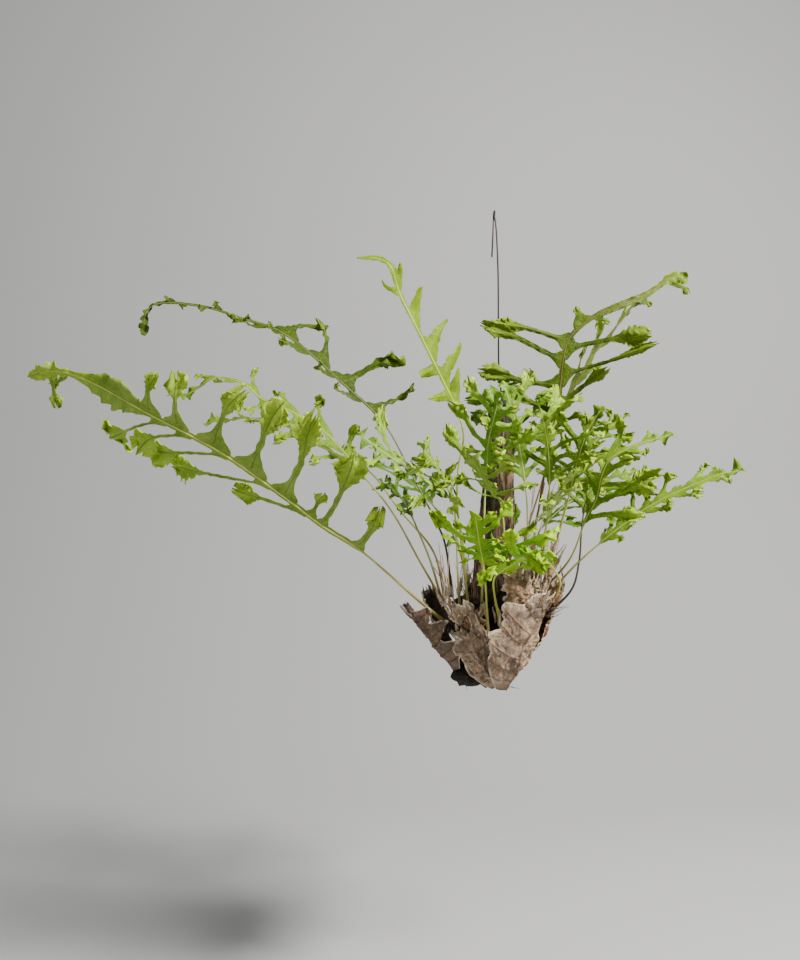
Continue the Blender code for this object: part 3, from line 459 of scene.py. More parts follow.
def ring_angles(sides):
    return 2 * math.pi * np.arange(sides) / sides


def ring_spots(angles, shares, wide, tall):
    """Where the points of a tube lie in the noise that makes it lumpy."""
    spots = np.empty((len(shares), angles.shape[-1], 3))
    spots[..., 0] = np.cos(angles) * wide
    spots[..., 1] = np.sin(angles) * wide
    spots[..., 2] = shares[:, None] * tall
    return spots


def tube_mesh(places, radii, sides, slot, lump=None):
    """A round closed tube along the places, whose ends narrow to a point."""
    headings = unit(np.gradient(places, axis=0))
    across = unit(np.cross(headings[0], (0.3, 0.2, 1.0)))
    angles = ring_angles(sides)
    rings = []
    for number, (place, heading, radius) in enumerate(zip(places, headings, radii)):
        across = unit(across - heading * (across @ heading))
        other = np.cross(heading, across)
        reach = radius * (lump[number] if lump is not None else np.ones(sides))
        rings.append(place + (reach * np.cos(angles))[:, None] * across
                     + (reach * np.sin(angles))[:, None] * other)
    ends = [places[0] - headings[0] * radii[0] * 0.6, places[-1] + headings[-1] * radii[-1] * 0.6]
    points = np.concatenate(rings + [np.array(ends)])
    count = len(places)
    k = np.arange(sides)
    after = (k + 1) % sides
    low = (np.arange(count - 1) * sides)[:, None]
    body = np.stack([low + k, low + after, low + sides + after, low + sides + k], axis=-1).reshape(-1, 4)
    faces = body.tolist()
    foot, top = count * sides, count * sides + 1
    last = (count - 1) * sides
    faces.extend([int(after[j]), j, foot] for j in range(sides))
    faces.extend([last + j, int(last + after[j]), top] for j in range(sides))
    share = np.linspace(0, 1, count)
    maps = np.zeros((len(points), 4))
    maps[:count * sides, 0] = np.tile(k / sides, count)
    maps[:count * sides, 1] = np.repeat(share, sides)
    maps[:count * sides, 3] = np.repeat(share, sides)
    maps[-1] = (0, 1, 0, 1)
    return points, faces, maps, np.full(len(faces), slot)


def joined(parts):
    """Several (points, faces, maps, slots) as one."""
    points, faces, maps, slots = [], [], [], []
    first = 0
    for part_points, part_faces, part_maps, part_slots in parts:
        points.append(part_points)
        maps.append(part_maps)
        slots.append(part_slots)
        if isinstance(part_faces, np.ndarray):
            faces.extend((part_faces + first).tolist())
        else:
            faces.extend([number + first for number in face] for face in part_faces)
        first += len(part_points)
    return np.concatenate(points), faces, np.concatenate(maps), np.concatenate(slots)


def mesh_object(name, parts, materials, node):
    """A smooth object with two UV maps, Leaf and Growth, that stands for a CAD node."""
    points, faces, maps, slots = joined(parts)
    data = bpy.data.meshes.new(name)
    data.from_pydata(points.tolist(), [], faces)
    loops = np.empty(len(data.loops), np.int32)
    data.loops.foreach_get("vertex_index", loops)
    for column, label in ((0, "Leaf"), (2, "Growth")):
        layer = data.uv_layers.new(name=label)
        layer.data.foreach_set("uv", maps[loops, column:column + 2].astype(np.float32).ravel())
    data.polygons.foreach_set("material_index", slots.astype(np.int32))
    data.shade_smooth()
    for material in materials:
        data.materials.append(material)
    data.update()
    obj = bpy.data.objects.new(name, data)
    bpy.context.scene.collection.objects.link(obj)
    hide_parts(node)
    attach(obj, "root")


# --- Fronds ----------------------------------------------------------------------


def lobe_line(lobe, start, outward, ahead, normal, seed, style):
    """The lobe's middle line and, at each place on it, its heading and in-plane side."""
    length, sweep, bend, lift = lobe[2:6]
    rng = np.random.default_rng(seed + 3)
    rows = max(9, int(round(length / STEP_ALONG_LOBE)))
    shares = np.linspace(0, 1, rows + 1)
    shares = 0.75 * shares + 0.25 * (1 - (1 - shares) ** 2)
    wander = waves(seed, 2, 0.4, 1.1)
    turn = np.radians(sweep + bend * shares + 14 * wander(shares) * shares)
    curl = rng.uniform(-80, 100) * style["curl"]
    roll = 30 * style["curl"] * waves(seed + 1, 2, 0.5, 1.2)(shares) * shares
    rise = np.radians(lift * smoothstep(shares / 0.5) + roll + curl * smoothstep((shares - 0.55) / 0.5))
    flat = np.cos(turn)[:, None] * outward + np.sin(turn)[:, None] * ahead
    headings = np.cos(rise)[:, None] * flat + np.sin(rise)[:, None] * normal
    eased = turn * smoothstep(shares / 0.3)
    sides = np.cos(eased)[:, None] * ahead - np.sin(eased)[:, None] * outward
    steps = (headings[:-1] + headings[1:]) / 2 * (np.diff(shares) * length)[:, None]
    places = start + np.concatenate([np.zeros((1, 3)), np.cumsum(steps, axis=0)])
    return shares, places, headings, unit(sides)


def lobe_cut(lobe, style):
    """The frond's style with the lobe's own web, ribbon and crest scales in it."""
    slim, crest = (*lobe[6:], 1.0, 1.0)[:2]
    return dict(style, web=style["web"] * slim, ribbon=style["ribbon"] * slim, crest=style["crest"] * crest)


def lobe_half_widths(shares, length, base, seed, style):
    """Half widths to both sides: a web at the midrib, a ribbon, then a ragged crest."""
    rng = np.random.default_rng(seed)
    reach = shares * length
    web = np.clip(1 - reach / (1.15 * base + 0.002), 0, 1) ** 1.9
    ribbon = style["ribbon"] * RIBBON_HALF_WIDTH * min(1.0, 0.45 + length / 0.08) * rng.uniform(0.8, 1.15)
    crest = min(WIDEST_CREST, 0.0035 + 0.11 * length) * rng.uniform(0.85, 1.15) * style["crest"]
    if style["teeth"] < 0.1:
        crest = ribbon
    swell = smoothstep((shares - 0.52) / 0.34)
    closing = np.sqrt(np.clip(1 - ((shares - 0.80) / 0.21).clip(0, 1) ** 2.2, 0, 1))
    narrow = 1 - style["point"] * smoothstep((shares - 0.42) / 0.58)
    half = (ribbon + (base - ribbon) * web + (crest - ribbon) * swell) * closing * narrow + 0.0006
    grow = smoothstep(reach / (1.2 * base + 0.004))
    sides = []
    for k in (7, 8):
        slow = waves(seed + k, 3, length / 0.026, length / 0.013)(shares)
        fast = waves(seed + k + 20, 3, length / 0.009, length / 0.0045)(shares)
        teeth = np.minimum(style["teeth"], 0.0026 / half) * smoothstep((shares - 0.45) / 0.35)
        jag = slow * (0.06 + 0.35 * style["teeth"]) + fast * teeth
        sides.append(half * (1 + grow * jag).clip(0.15, 1.7))
    return sides


def finger_ends(v, shares, length, seed, style):
    """How far the lobe's end reaches forward: two or three ragged fingers."""
    rng = np.random.default_rng(seed + 9)
    count = rng.integers(2, 4)
    deep = style["fingers"] * min(LONGEST_FINGER, 0.15 * length)
    fingers = np.cos(math.pi * count * (v + rng.uniform(-0.3, 0.3)))
    ragged = waves(seed + 60, 3, 0.8, 2.6)(v)
    ends = smoothstep((shares - 0.62) / 0.38)[:, None]
    return ends * (0.5 * deep * fingers + style["teeth"] * LONGEST_FINGER * ragged)[None, :]


def lobe_points(lobe, edge, outward, ahead, normal, seed, style):
    """The lobe as rows of points, crumpled towards its end."""
    length = lobe[2]
    rng = np.random.default_rng(seed)
    v = np.linspace(-1, 1, len(edge))
    base = np.linalg.norm(edge[-1] - edge[0]) / 2
    shares, places, headings, sides = lobe_line(
        lobe, edge[len(edge) // 2], outward, ahead, normal, seed, style)
    reach = shares * length
    left, right = lobe_half_widths(shares, length, base, seed, style)
    width = np.where(v[None, :] < 0, left[:, None], right[:, None])
    ends = smoothstep((shares - 0.72) / 0.28)[:, None]
    forward = width * ends * (np.sqrt(np.clip(1 - v[None, :] ** 2, 0, 1)) - 0.6) * 0.6
    forward = forward + finger_ends(v, shares, length, seed, style)
    up = unit(np.cross(headings, sides))
    up = up * np.sign(np.sum(up * normal, axis=1, keepdims=True))
    twist = np.radians(rng.uniform(-75, 75) * style["curl"]) * smoothstep((shares - 0.2) / 0.8)
    turned_side = np.cos(twist)[:, None] * sides + np.sin(twist)[:, None] * up
    turned_up = np.cos(twist)[:, None] * up - np.sin(twist)[:, None] * sides
    outer = np.abs(v[None, :])
    drift = 0.8 * waves(seed + 70, 2, 0.6, 1.6)(shares)[:, None]
    rate = length / rng.uniform(0.013, 0.021)
    turns = rate * shares[:, None] + drift
    ruffle = np.sin(2 * math.pi * turns + np.where(v[None, :] < 0, 0.0, 2.1) + seed)
    crumple = np.sin(rng.uniform(3.5, 6.0) * v[None, :] + seed + 6 * shares[:, None])
    grow = smoothstep(reach / (base + 0.006))[:, None]
    fold = style["fold"] + rng.uniform(-0.3, 0.3)
    lift = (style["ruffle"] * 0.42 * width * grow * ruffle * outer**2
            + style["ruffle"] * 0.34 * width * smoothstep((shares - 0.55) / 0.3)[:, None] * crumple
            - fold * outer * width * grow)
    points = offset_grid(places, (turned_side, width * v[None, :]), (headings, forward), (turned_up, lift))
    from_edge = edge[None, :, :] + (outward * 0.9)[None, None, :] * reach[:, None, None]
    blend = smoothstep(reach / (0.45 * base + 0.001))[:, None, None]
    points = from_edge * (1 - blend) + points * blend
    return points, leaf_maps(points, v[None, :], reach[:, None] * LEAF_TILES_PER_METRE, shares[:, None])


def frond_tip(spec):
    return spec.get("tip", PLAIN_TIP)


def frond_frame(spec):
    """Fractions along the blade, and there the places, headings, normals and sides."""
    _, length = along(smooth_route(spec["route"]))
    end = frond_tip(spec)[-1][0]
    count = int(length * (end - spec["blade"]) / STEP_ALONG_MIDRIB)
    fractions = np.linspace(spec["blade"], end, count + 1)
    places, headings = sampled(spec["route"], fractions)
    face = np.array(spec["face"], float)
    normals = unit(face - headings * (headings @ face)[:, None])
    return fractions, length, places, headings, normals, np.cross(headings, normals)


def wing_points(spec, fractions, length, places, normals, sides, seed, style):
    """The narrow lamina along the midrib, and the ruffled end past the last lobe."""
    last = tip_start(spec)
    tip = frond_tip(spec)
    wing = WING_HALF_WIDTH * style["wing"]
    widths = wing * (0.12 + 0.88 * smoothstep((fractions - spec["blade"]) / 0.05))
    closing = np.interp(fractions, [last] + [t for t, _ in tip], [wing] + [w for _, w in tip])
    widths = np.where(fractions > last, closing, widths)
    columns = np.linspace(-1, 1, WING_COLUMNS)
    past = smoothstep((fractions - last) / 0.05)
    reach = fractions * length
    jag = np.stack([waves(seed + s, 5, 1 / 0.022, 1 / 0.005)(reach) for s in (3, 4)], axis=1)
    crested = smoothstep((fractions - 0.89) / 0.04)
    rough = 0.05 + 0.30 * past * style["end"] + 0.9 * style["teeth"] * crested
    scale = 1 + rough[:, None] * jag
    scale = np.where(fractions[:, None] > 0.995, 1.0, scale)
    width = np.where(columns[None, :] < 0, (widths * scale[:, 0])[:, None], (widths * scale[:, 1])[:, None])
    wave = np.stack([waves(seed + s, 3, 1 / 0.040, 1 / 0.014)(reach) for s in (5, 6)], axis=1)
    wave = np.where(columns[None, :] < 0, wave[:, :1], wave[:, 1:])
    outer = np.abs(columns)[None, :]
    flutter = 0.15 + 0.75 * style["end"] * past + 2.4 * style["teeth"] * crested
    lift = outer**1.5 * width * (0.12 + flutter[:, None] * wave)
    points = offset_grid(places, (sides, columns[None, :] * width), (normals, lift))
    growth = 0.8 * past * smoothstep((fractions - last) / 0.2)
    return points, leaf_maps(points, columns[None, :], (reach * LEAF_TILES_PER_METRE)[:, None],
                             growth[:, None], fractions[:, None])


def tip_start(spec):
    """The last lobe's place before the frond's end begins to widen."""
    first = frond_tip(spec)[0][0]
    return max(lobe[0] for lobe in spec["lobes"] if lobe[0] < first)


def all_lobes(spec, which, length, style, seed):
    """One side's lobes, with short ones between them where the style grows more."""
    mine = [lobe for lobe in spec["lobes"] if lobe[1] == which]
    if not style["extra"]:
        return mine
    rng = np.random.default_rng(seed + which)
    places = [spec["blade"] + 0.015] + [lobe[0] for lobe in mine] + [0.95]
    made = []
    for k, lobe in enumerate(mine):
        gap = lobe[0] - places[k]
        if gap * length > 0.014:
            made.append((lobe[0] - gap * rng.uniform(0.38, 0.60), which, lobe[2] * rng.uniform(0.35, 0.85),
                         lobe[3] + rng.uniform(-15, 15), lobe[4] + rng.uniform(-35, 35),
                         lobe[5] + rng.uniform(-45, 45), rng.uniform(0.7, 1.2)))
        made.append((lobe[0], which, lobe[2] * rng.uniform(1.25, 1.75), lobe[3],
                     lobe[4] + rng.uniform(-30, 30), lobe[5] + rng.uniform(-40, 40),
                     rng.uniform(0.8, 1.3)))
    if (places[-1] - mine[-1][0]) * length > 0.016:
        made.append(((places[-1] + mine[-1][0]) / 2, which, mine[-1][2] * 0.6, 35, 0, rng.uniform(-20, 20)))
    return made


def frond_sheet(spec, seed):
    """The winged midrib and its lobes as one connected sheet."""
    blade = spec["blade"]
    style = STYLES[spec["style"]]
    fractions, length, places, headings, normals, sides = frond_frame(spec)
    count = len(fractions) - 1
    span = fractions[-1] - blade
    sheet = Sheet()
    wing = sheet.add(*wing_points(spec, fractions, length, places, normals, sides, seed, style))
    sheet.grid(wing)
    for which in (-1, 1):
        mine = all_lobes(spec, which, length, style, seed)
        centres = [int(round((lobe[0] - blade) / span * count)) for lobe in mine]
        for k, (lobe, centre) in enumerate(zip(mine, centres)):
            before = centres[k - 1] if k else 0
            after = centres[k + 1] if k + 1 < len(centres) else count
            cut = lobe_cut(lobe, style)
            most = int(cut["web"] * min(WIDEST_WEB, 0.46 * lobe[2]) / STEP_ALONG_MIDRIB)
            room = int(0.48 * min(centre - before, after - centre))
            half = min(max(4, min(most, room)), (centre - before) // 2, (after - centre) // 2)
            if half < 2:
                continue
            numbers = wing[centre - half:centre + half + 1, 0 if which < 0 else -1]
            edge = np.array([sheet.points[n] for n in numbers])
            lobe_seed = seed * 101 + 11 * k + (5 if which > 0 else 0)
            made, made_maps = lobe_points(lobe, edge, sides[centre] * which, headings[centre],
                                          normals[centre], lobe_seed, cut)
            made_maps[..., 3] = fractions[centre]
            grid = np.vstack([numbers, sheet.add(made[1:], made_maps[1:])])
            sheet.grid(grid if which < 0 else grid[:, ::-1])
    return sheet


def midrib_tube(spec):
    """The stalk and midrib, thickest at its foot."""
    end = frond_tip(spec)[-1][0] - 0.03
    _, length = along(smooth_route(spec["route"]))
    count = int(length * end / MIDRIB_ROW_STEP)
    fractions = np.linspace(0, end, count)
    places, _ = sampled(spec["route"], fractions)
    blade = spec["blade"]
    radii = np.interp(fractions, [0, blade, 1],
                      [MIDRIB_BASE_RADIUS, MIDRIB_BLADE_RADIUS, MIDRIB_TIP_RADIUS])
    radii = radii * spec.get("rib", 1.0) + STALK_FOOT_SWELL * np.exp(-fractions * length / 0.008)
    return tube_mesh(places, radii, MIDRIB_SIDES, 2)


def build_frond(name, spec, seed, looks):
    """One living frond: its lamina, and its stalk and midrib."""
    parts = [thickened(frond_sheet(spec, seed), LEAF_HALF_THICKNESS), midrib_tube(spec)]
    mesh_object("leaf_" + name, parts, looks[spec["look"]], "frond_" + name)


# --- The dry nest ------------------------------------------------------------------

# route and cup: as in the CAD part. halves: the widths of its two halves, left first.
# notches: lobes cut in its edges, and how deep on its two sides. crease: how far its
# right half turns back at the midrib. top: its width at the top. curl: how far its top
# bends away from the wood. crush: how wrinkled it is. holes: how much of it has gone.
# hole: where along and across it a hole is, and how tall and wide. look: its paper, which for some of them is
# darkened as painted shade or lightened as painted light.
NEST = {
    "front_right": dict(
        route=mm((10, -42, -574), (20, -64, -545), (32, -72, -508), (58, -70, -460)),
        halves=(0.052, 0.034), cup=0.45, notches=4, depth=(0.34, 0.10), crease=0.42, top=0.24,
        curl=0.002, crush=1.3, holes=0.06, look="paper_grey"),
    "front_left": dict(
        route=mm((0, -30, -572), (-16, -48, -546), (-32, -58, -512), (-46, -60, -474)),
        halves=(0.029, 0.023), cup=0.50, notches=3, depth=(0.26, 0.24), crease=0.30, top=0.72,
        curl=0.007, crush=1.7, holes=0.24, hole=(0.80, 0.05, 0.055, 0.24), look="paper_grey"),
    "far_left": dict(
        route=mm((-50, -22, -555), (-66, -30, -532), (-84, -36, -506), (-108, -42, -474)),
        halves=(0.013, 0.034), cup=0.50, notches=4, depth=(0.15, 0.80), crease=0.30, top=0.30,
        curl=0.003, crush=1.3, holes=0.05, look="paper_grey_painted_shade"),
    "inner_left": dict(
        route=mm((-26, -48, -530), (-30, -54, -505), (-30, -56, -476)),
        halves=(0.018, 0.020), cup=0.30, notches=3, depth=(0.4, 0.4), crease=0.3, top=0.8,
        curl=0.004, crush=1.5, holes=0.25, look="paper_tan"),
    "upper_right": dict(
        route=mm((26, -52, -508), (34, -58, -476), (34, -52, -432)),
        halves=(0.034, 0.032), cup=0.95, notches=2, depth=(0.10, 0.10), crease=0.0, top=0.75,
        curl=-0.012, crush=2.4, holes=0.12, look="paper_tan_painted_light"),
    "right": dict(
        route=mm((22, -2, -570), (50, 6, -530), (68, 12, -494), (74, 18, -455)),
        halves=(0.034, 0.036), cup=0.50, notches=6, depth=(0.30, 0.3), crease=0.2, top=0.6,
        curl=0.008, crush=1.6, holes=0.16, look="paper_rust"),
    "back_right": dict(
        route=mm((12, 32, -570), (34, 58, -530), (44, 72, -490), (48, 78, -460)),
        halves=(0.030, 0.030), cup=0.50, notches=5, depth=(0.3, 0.3), crease=0.2, top=0.5,
        curl=0.005, crush=1.2, holes=0.10, look="paper_grey"),
    "back": dict(
        route=mm((-20, 24, -572), (-18, 50, -532), (-16, 64, -494), (-14, 70, -466)),
        halves=(0.034, 0.034), cup=0.45, notches=4, depth=(0.26, 0.26), crease=0.3, top=0.5,
        curl=0.004, crush=1.2, holes=0.10, look="paper_tan"),
    "back_left": dict(
        route=mm((-46, 14, -566), (-64, 36, -528), (-72, 48, -494), (-78, 54, -466)),
        halves=(0.032, 0.032), cup=0.50, notches=5, depth=(0.3, 0.3), crease=0.2, top=0.5,
        curl=0.005, crush=1.2, holes=0.12, look="paper_grey_painted_shade"),
}
NEST_ROWS = 104
NEST_COLUMNS = 73
NEST_SWEEP = 0.55
NEST_VEINS = 8
CORNER_PASSES = 6
SHRED_ROWS = 24
SHRED_COLUMNS = 7


def paper_sheet(spec, seed):
    """A papery frond: creased along its midrib, veined, wrinkled, torn at its edge."""
    _, length = along(smooth_route(spec["route"]))
    cup = spec["cup"]
    f = np.linspace(0, 1, NEST_ROWS)[:, None] * np.ones((1, NEST_COLUMNS))
    v = np.linspace(-1, 1, NEST_COLUMNS)[None, :] * np.ones((NEST_ROWS, 1))
    half_width = np.where(v < 0, *spec["halves"])
    swept = f + NEST_SWEEP * np.abs(v) ** 1.2 * half_width / length * f * (1 - f) * 2
    swept = swept.clip(0, 1)
    places, headings = sampled(spec["route"], swept.ravel())
    outward = places * np.array([1.0, 1.0, 0.0]) + np.array([0.010, 0.0, 0.0])
    outward = unit(outward - headings * np.sum(outward * headings, axis=1, keepdims=True))
    side = np.cross(headings, outward)
    open_up = 0.12 + 0.88 * np.sin(math.pi * np.minimum(0.5, 0.05 + 0.85 * f))
    shape = open_up + (spec["top"] - 1) * smoothstep((f - 0.55) / 0.45)
    turn = (spec["notches"] * (f - 0.15) + 0.3 * np.sign(v)) % 1.0
    tooth = 1 - np.minimum(turn / 0.78, (1 - turn) / 0.22)
    depth = np.where(v < 0, spec["depth"][0], spec["depth"][1])
    cut = depth * tooth * smoothstep((f - 0.20) / 0.2)
    ragged = layered(np.stack([f * length * 150, np.sign(v) * 5 + seed], axis=-1), 1.0, seed, 4)
    width = half_width * shape * (1 - cut) * (1 + 0.16 * ragged * smoothstep((f - 0.12) / 0.3))
    torn = layered(np.stack([v * 7, np.full_like(v, seed * 3.1)], axis=-1), 1.0, seed + 5, 4)
    ahead = 0.013 * torn * smoothstep((f - 0.70) / 0.3)
    angle = cup * v
    reach = width / cup
    aside, depth_in = reach * np.sin(angle), reach * (1 - np.cos(angle))
    bent = spec["crease"] * smoothstep(v / 0.06) * (v > 0)
    aside, depth_in = (aside * np.cos(bent) - depth_in * np.sin(bent),
                       depth_in * np.cos(bent) + aside * np.sin(bent))
    flat = np.stack([f * length, v * width], axis=-1)
    ridged = 1 - 2 * np.abs(layered(flat * [1.0, 1.7], 70, seed + 10, 3))
    pleats = layered(flat * [0.22, 1.6], 120, seed + 14, 2)
    wrinkle = spec["crush"] * (0.0016 * layered(flat, 90, seed + 11) + 0.0016 * ridged + 0.0018 * pleats
                               + 0.0009 * layered(flat * [1.0, 2.2], 260, seed + 12))
    wrinkle = wrinkle + 0.00022 * value_noise(flat, 900, seed + 13)
    side_veins = np.exp(-((np.sin(math.pi * NEST_VEINS * f) / 0.16) ** 2))
    vein = 0.0009 * side_veins * smoothstep((1 - np.abs(v)) / 0.3)
    vein = vein + 0.0011 * np.exp(-((v * width / 0.0011) ** 2))
    edge_curl = smoothstep((np.abs(v) - 0.62) / 0.38) * layered(
        np.stack([f * 3.0, np.sign(v) * 3.0 + seed], axis=-1), 1.0, seed + 21, 2)
    lift = (wrinkle * smoothstep(f / 0.2) + vein + 0.007 * edge_curl * smoothstep(f / 0.3)
            + spec["curl"] * smoothstep((f - 0.6) / 0.4) * (1 + 0.7 * layered(flat, 60, seed + 31)))
    points = (places.reshape(NEST_ROWS, NEST_COLUMNS, 3)
              + side.reshape(NEST_ROWS, NEST_COLUMNS, 3) * aside[..., None]
              + outward.reshape(NEST_ROWS, NEST_COLUMNS, 3) * (lift - depth_in)[..., None]
              + headings.reshape(NEST_ROWS, NEST_COLUMNS, 3) * ahead[..., None])
    gone = layered(flat, 75, seed + 41, 3) * 0.5 + 0.5
    if "hole" in spec:
        at, aside_at, tall, wide = spec["hole"]
        away = np.hypot((f - at) / tall, (v - aside_at) / wide) + 0.35 * layered(flat, 180, seed + 44, 2)
        gone = np.maximum(gone, 1.45 - 0.5 * away)
    limit = 1 - spec["holes"] * smoothstep((f - 0.45) / 0.4) * 1.6 - 0.10 * smoothstep((f - 0.93) / 0.07)
    rim = np.maximum(smoothstep((np.abs(v) - 0.88) / 0.12), smoothstep((f - 0.95) / 0.05))
    rim = np.maximum(rim, smoothstep((gone - limit + 0.09) / 0.07))
    maps = np.stack([0.5 + 0.5 * v, f, rim, f], axis=-1)
    sheet = Sheet()
    numbers = sheet.add(points, maps)
    sheet.grid(numbers, keep=largest_patch((gone < limit)[1:, 1:]))
    return sheet


def largest_patch(keep):
    """The biggest patch of cells that touch along their sides, and none that touch at a corner only."""
    labels = np.where(keep, np.arange(keep.size).reshape(keep.shape) + 1, 0)
    for _ in range(keep.size):
        grown = labels.copy()
        grown[1:] = np.maximum(grown[1:], labels[:-1])
        grown[:-1] = np.maximum(grown[:-1], labels[1:])
        grown[:, 1:] = np.maximum(grown[:, 1:], labels[:, :-1])
        grown[:, :-1] = np.maximum(grown[:, :-1], labels[:, 1:])
        grown = np.where(keep, grown, 0)
        if (grown == labels).all():
            break
        labels = grown
    numbers, counts = np.unique(labels[labels > 0], return_counts=True)
    keep = labels == numbers[np.argmax(counts)]
    for _ in range(CORNER_PASSES):
        rising = keep[:-1, :-1] & keep[1:, 1:] & ~keep[1:, :-1] & ~keep[:-1, 1:]
        falling = ~keep[:-1, :-1] & ~keep[1:, 1:] & keep[1:, :-1] & keep[:-1, 1:]
        if not (rising.any() or falling.any()):
            break
        keep = keep.copy()
        keep[1:, :-1] |= rising
        keep[:-1, :-1] |= falling
    return keep


def shred(start, heading, length, width, seed):
    """A torn, curling strip of dry frond."""
    rng = np.random.default_rng(seed)
    shares = np.linspace(0, 1, SHRED_ROWS)
    heading = unit(np.array(heading, float))
    across = unit(np.cross(heading, rng.normal(size=3)))
    bend = np.cross(heading, across)
    sway = waves(seed, 2, 0.3, 0.9)
    middle = (np.array(start) + heading * (shares * length)[:, None]
              + bend * (0.22 * length * sway(shares) * shares)[:, None])
    twist = rng.uniform(-2.5, 2.5) * shares
    side = np.cos(twist)[:, None] * across + np.sin(twist)[:, None] * bend
    half = width * (1 - shares**1.5) * (1 + 0.3 * waves(seed + 1, 3, 3, 9)(shares)) + 0.0003
    v = np.linspace(-1, 1, SHRED_COLUMNS)
    up = np.cross(heading, side)
    lift = 0.5 * half[:, None] * v[None, :] ** 2 + 0.0005 * value_noise(
        np.stack([shares[:, None] * 20 + 0 * v, v[None, :] * 2 + 0 * shares[:, None]], axis=-1), 1.0, seed)
    points = offset_grid(middle, (side, half[:, None] * v), (up, lift))
    sheet = Sheet()
    sheet.grid(sheet.add(points, leaf_maps(points, v, shares[:, None], 0.5)))
    return thickened(sheet, PAPER_HALF_THICKNESS)


# Torn strips that stand in the nest: node, middle, spread, count, length, half width.
SHREDS = [
    ("upper_right", (0.050, -0.036, -0.448), (0.016, 0.012, 0.010), 22, 0.050, 0.0018),
    ("upper_right", (0.034, -0.054, -0.458), (0.020, 0.006, 0.014), 16, 0.028, 0.0036),
    ("inner_left", (-0.024, -0.050, -0.496), (0.024, 0.006, 0.008), 12, 0.020, 0.0028),
    ("front_left", (-0.060, -0.034, -0.474), (0.012, 0.010, 0.008), 7, 0.024, 0.0026),
    ("front_right", (0.012, -0.056, -0.498), (0.014, 0.004, 0.006), 6, 0.020, 0.0022),
    ("right", (0.070, -0.004, -0.470), (0.010, 0.014, 0.014), 12, 0.024, 0.0034),
    ("back", (-0.010, 0.056, -0.478), (0.040, 0.010, 0.012), 16, 0.024, 0.0028),
]


def build_nest(looks):
    """The dry nest fronds, each with the torn strips that stand in it."""
    for seed, (name, spec) in enumerate(NEST.items(), start=301):
        parts = [thickened(paper_sheet(spec, seed), PAPER_HALF_THICKNESS)]
        rng = np.random.default_rng(seed)
        for node, middle, spread, count, length, width in SHREDS:
            if node != name:
                continue
            for k in range(count):
                start = np.array(middle) + rng.uniform(-1, 1, 3) * spread
                aside, back = rng.uniform(-0.3, 0.3), rng.uniform(-0.3, 0.3)
                heading = np.array([start[0] * 2.0 + aside, start[1] + back, 1.0])
                parts.append(shred(start, heading, length * rng.uniform(0.5, 1.3),
                                   width * rng.uniform(0.5, 1.4), seed * 50 + k))
        mesh_object("dry_" + name, parts, looks[spec["look"]], "nest_frond_" + name)


# --- Wood, rhizome, roots and dead stalks ----------------------------------------------

WOOD_LINE = mm((9, 2, -236), (7, 2, -290), (5, 0, -350), (-1, 0, -410), (-11, 0, -480), (-22, 0, -540),
               (-40, -4, -572))
WOOD_RADII = [0.0140, 0.0175, 0.0195, 0.0200, 0.0190, 0.0150, 0.0110]
RHIZOME_LINE = mm((22, 34, -470), (-14, 42, -476), (-47, 18, -488), (-47, -16, -506), (-16, -36, -518),
                  (20, -28, -512), (46, -4, -490), (56, 8, -474))
RHIZOME_RADIUS = 0.0100
RHIZOME_SCALES = 760
ROOT_FIBRES = 120
BRISTLES = 26
# Two short broken twigs under the branch: where each starts, and its direction.
STUBS = [((-0.036, -0.014, -0.571), (0.2, -0.1, -1.0)), ((0.014, -0.052, -0.569), (0.9, -0.4, -0.1))]
KNOB_LINE = mm((-53, -16, -564), (-41, -18, -562), (-27, -14, -568), (-12, -10, -568))
KNOB_RADIUS = 0.0112
HUMUS_RADIUS = 0.038
HUMUS_BOTTOM, HUMUS_TOP = -0.570, -0.444
DEAD_STALK_RADIUS = 0.0013
DEAD_STALK_STRANDS = 7


def build_wood(looks):
    """The branch: fissured bark, and weathered ends."""
    rows, sides = 240, 96
    fractions = np.linspace(0, 1, rows)
    places, _ = sampled(WOOD_LINE, fractions)
    radii = np.interp(fractions, np.linspace(0, 1, len(WOOD_RADII)), WOOD_RADII)
    angle = ring_angles(sides) + np.zeros((rows, 1))
    drift = 0.35 * value_noise(np.stack([fractions * 6, fractions * 0], axis=1), 1.0, 9)[:, None]
    turn = angle + drift + 1.1 * fractions[:, None]
    around = ring_spots(turn, fractions, 2.6, 4.5)
    strips = 1 - np.abs(layered(around, 1.6, 21, 3))
    plates = layered(around * [1, 1, 2.4], 1.1, 33, 2)
    grain = value_noise(around * [4.0, 4.0, 3.0], 2.6, 44)
    swell = 0.05 * np.sin(5 * angle + 9 * fractions[:, None]) + 0.05 * np.sin(11 * fractions[:, None] + 2)
    lump = 1 + swell + 0.26 * (strips - 0.72) + 0.07 * plates + 0.05 * grain
    ends = np.minimum(fractions / 0.012, (1 - fractions) / 0.02).clip(0, 1)
    lump = lump * (0.72 + 0.28 * np.sqrt(ends))[:, None]
    knob = np.exp(-(((fractions - 0.93) / 0.05) ** 2))[:, None] * (0.5 + 0.5 * np.cos(angle - 2.5))
    lump = lump + 0.30 * knob
    parts = [tube_mesh(places, radii, sides, 0, lump), knob_mesh()]
    for k, (place, heading) in enumerate(STUBS):
        shares = np.linspace(0, 1, 16)
        line = np.array(place) + np.array(heading) * (shares * 0.010)[:, None]
        line[:, 0] += 0.002 * waves(700 + k, 2, 0.5, 1.5)(shares) * shares
        parts.append(tube_mesh(line, 0.0006 * (1 - 0.7 * shares), 6, 0))
    mesh_object("bark_branch", parts, looks["bark"], "wood_mount")


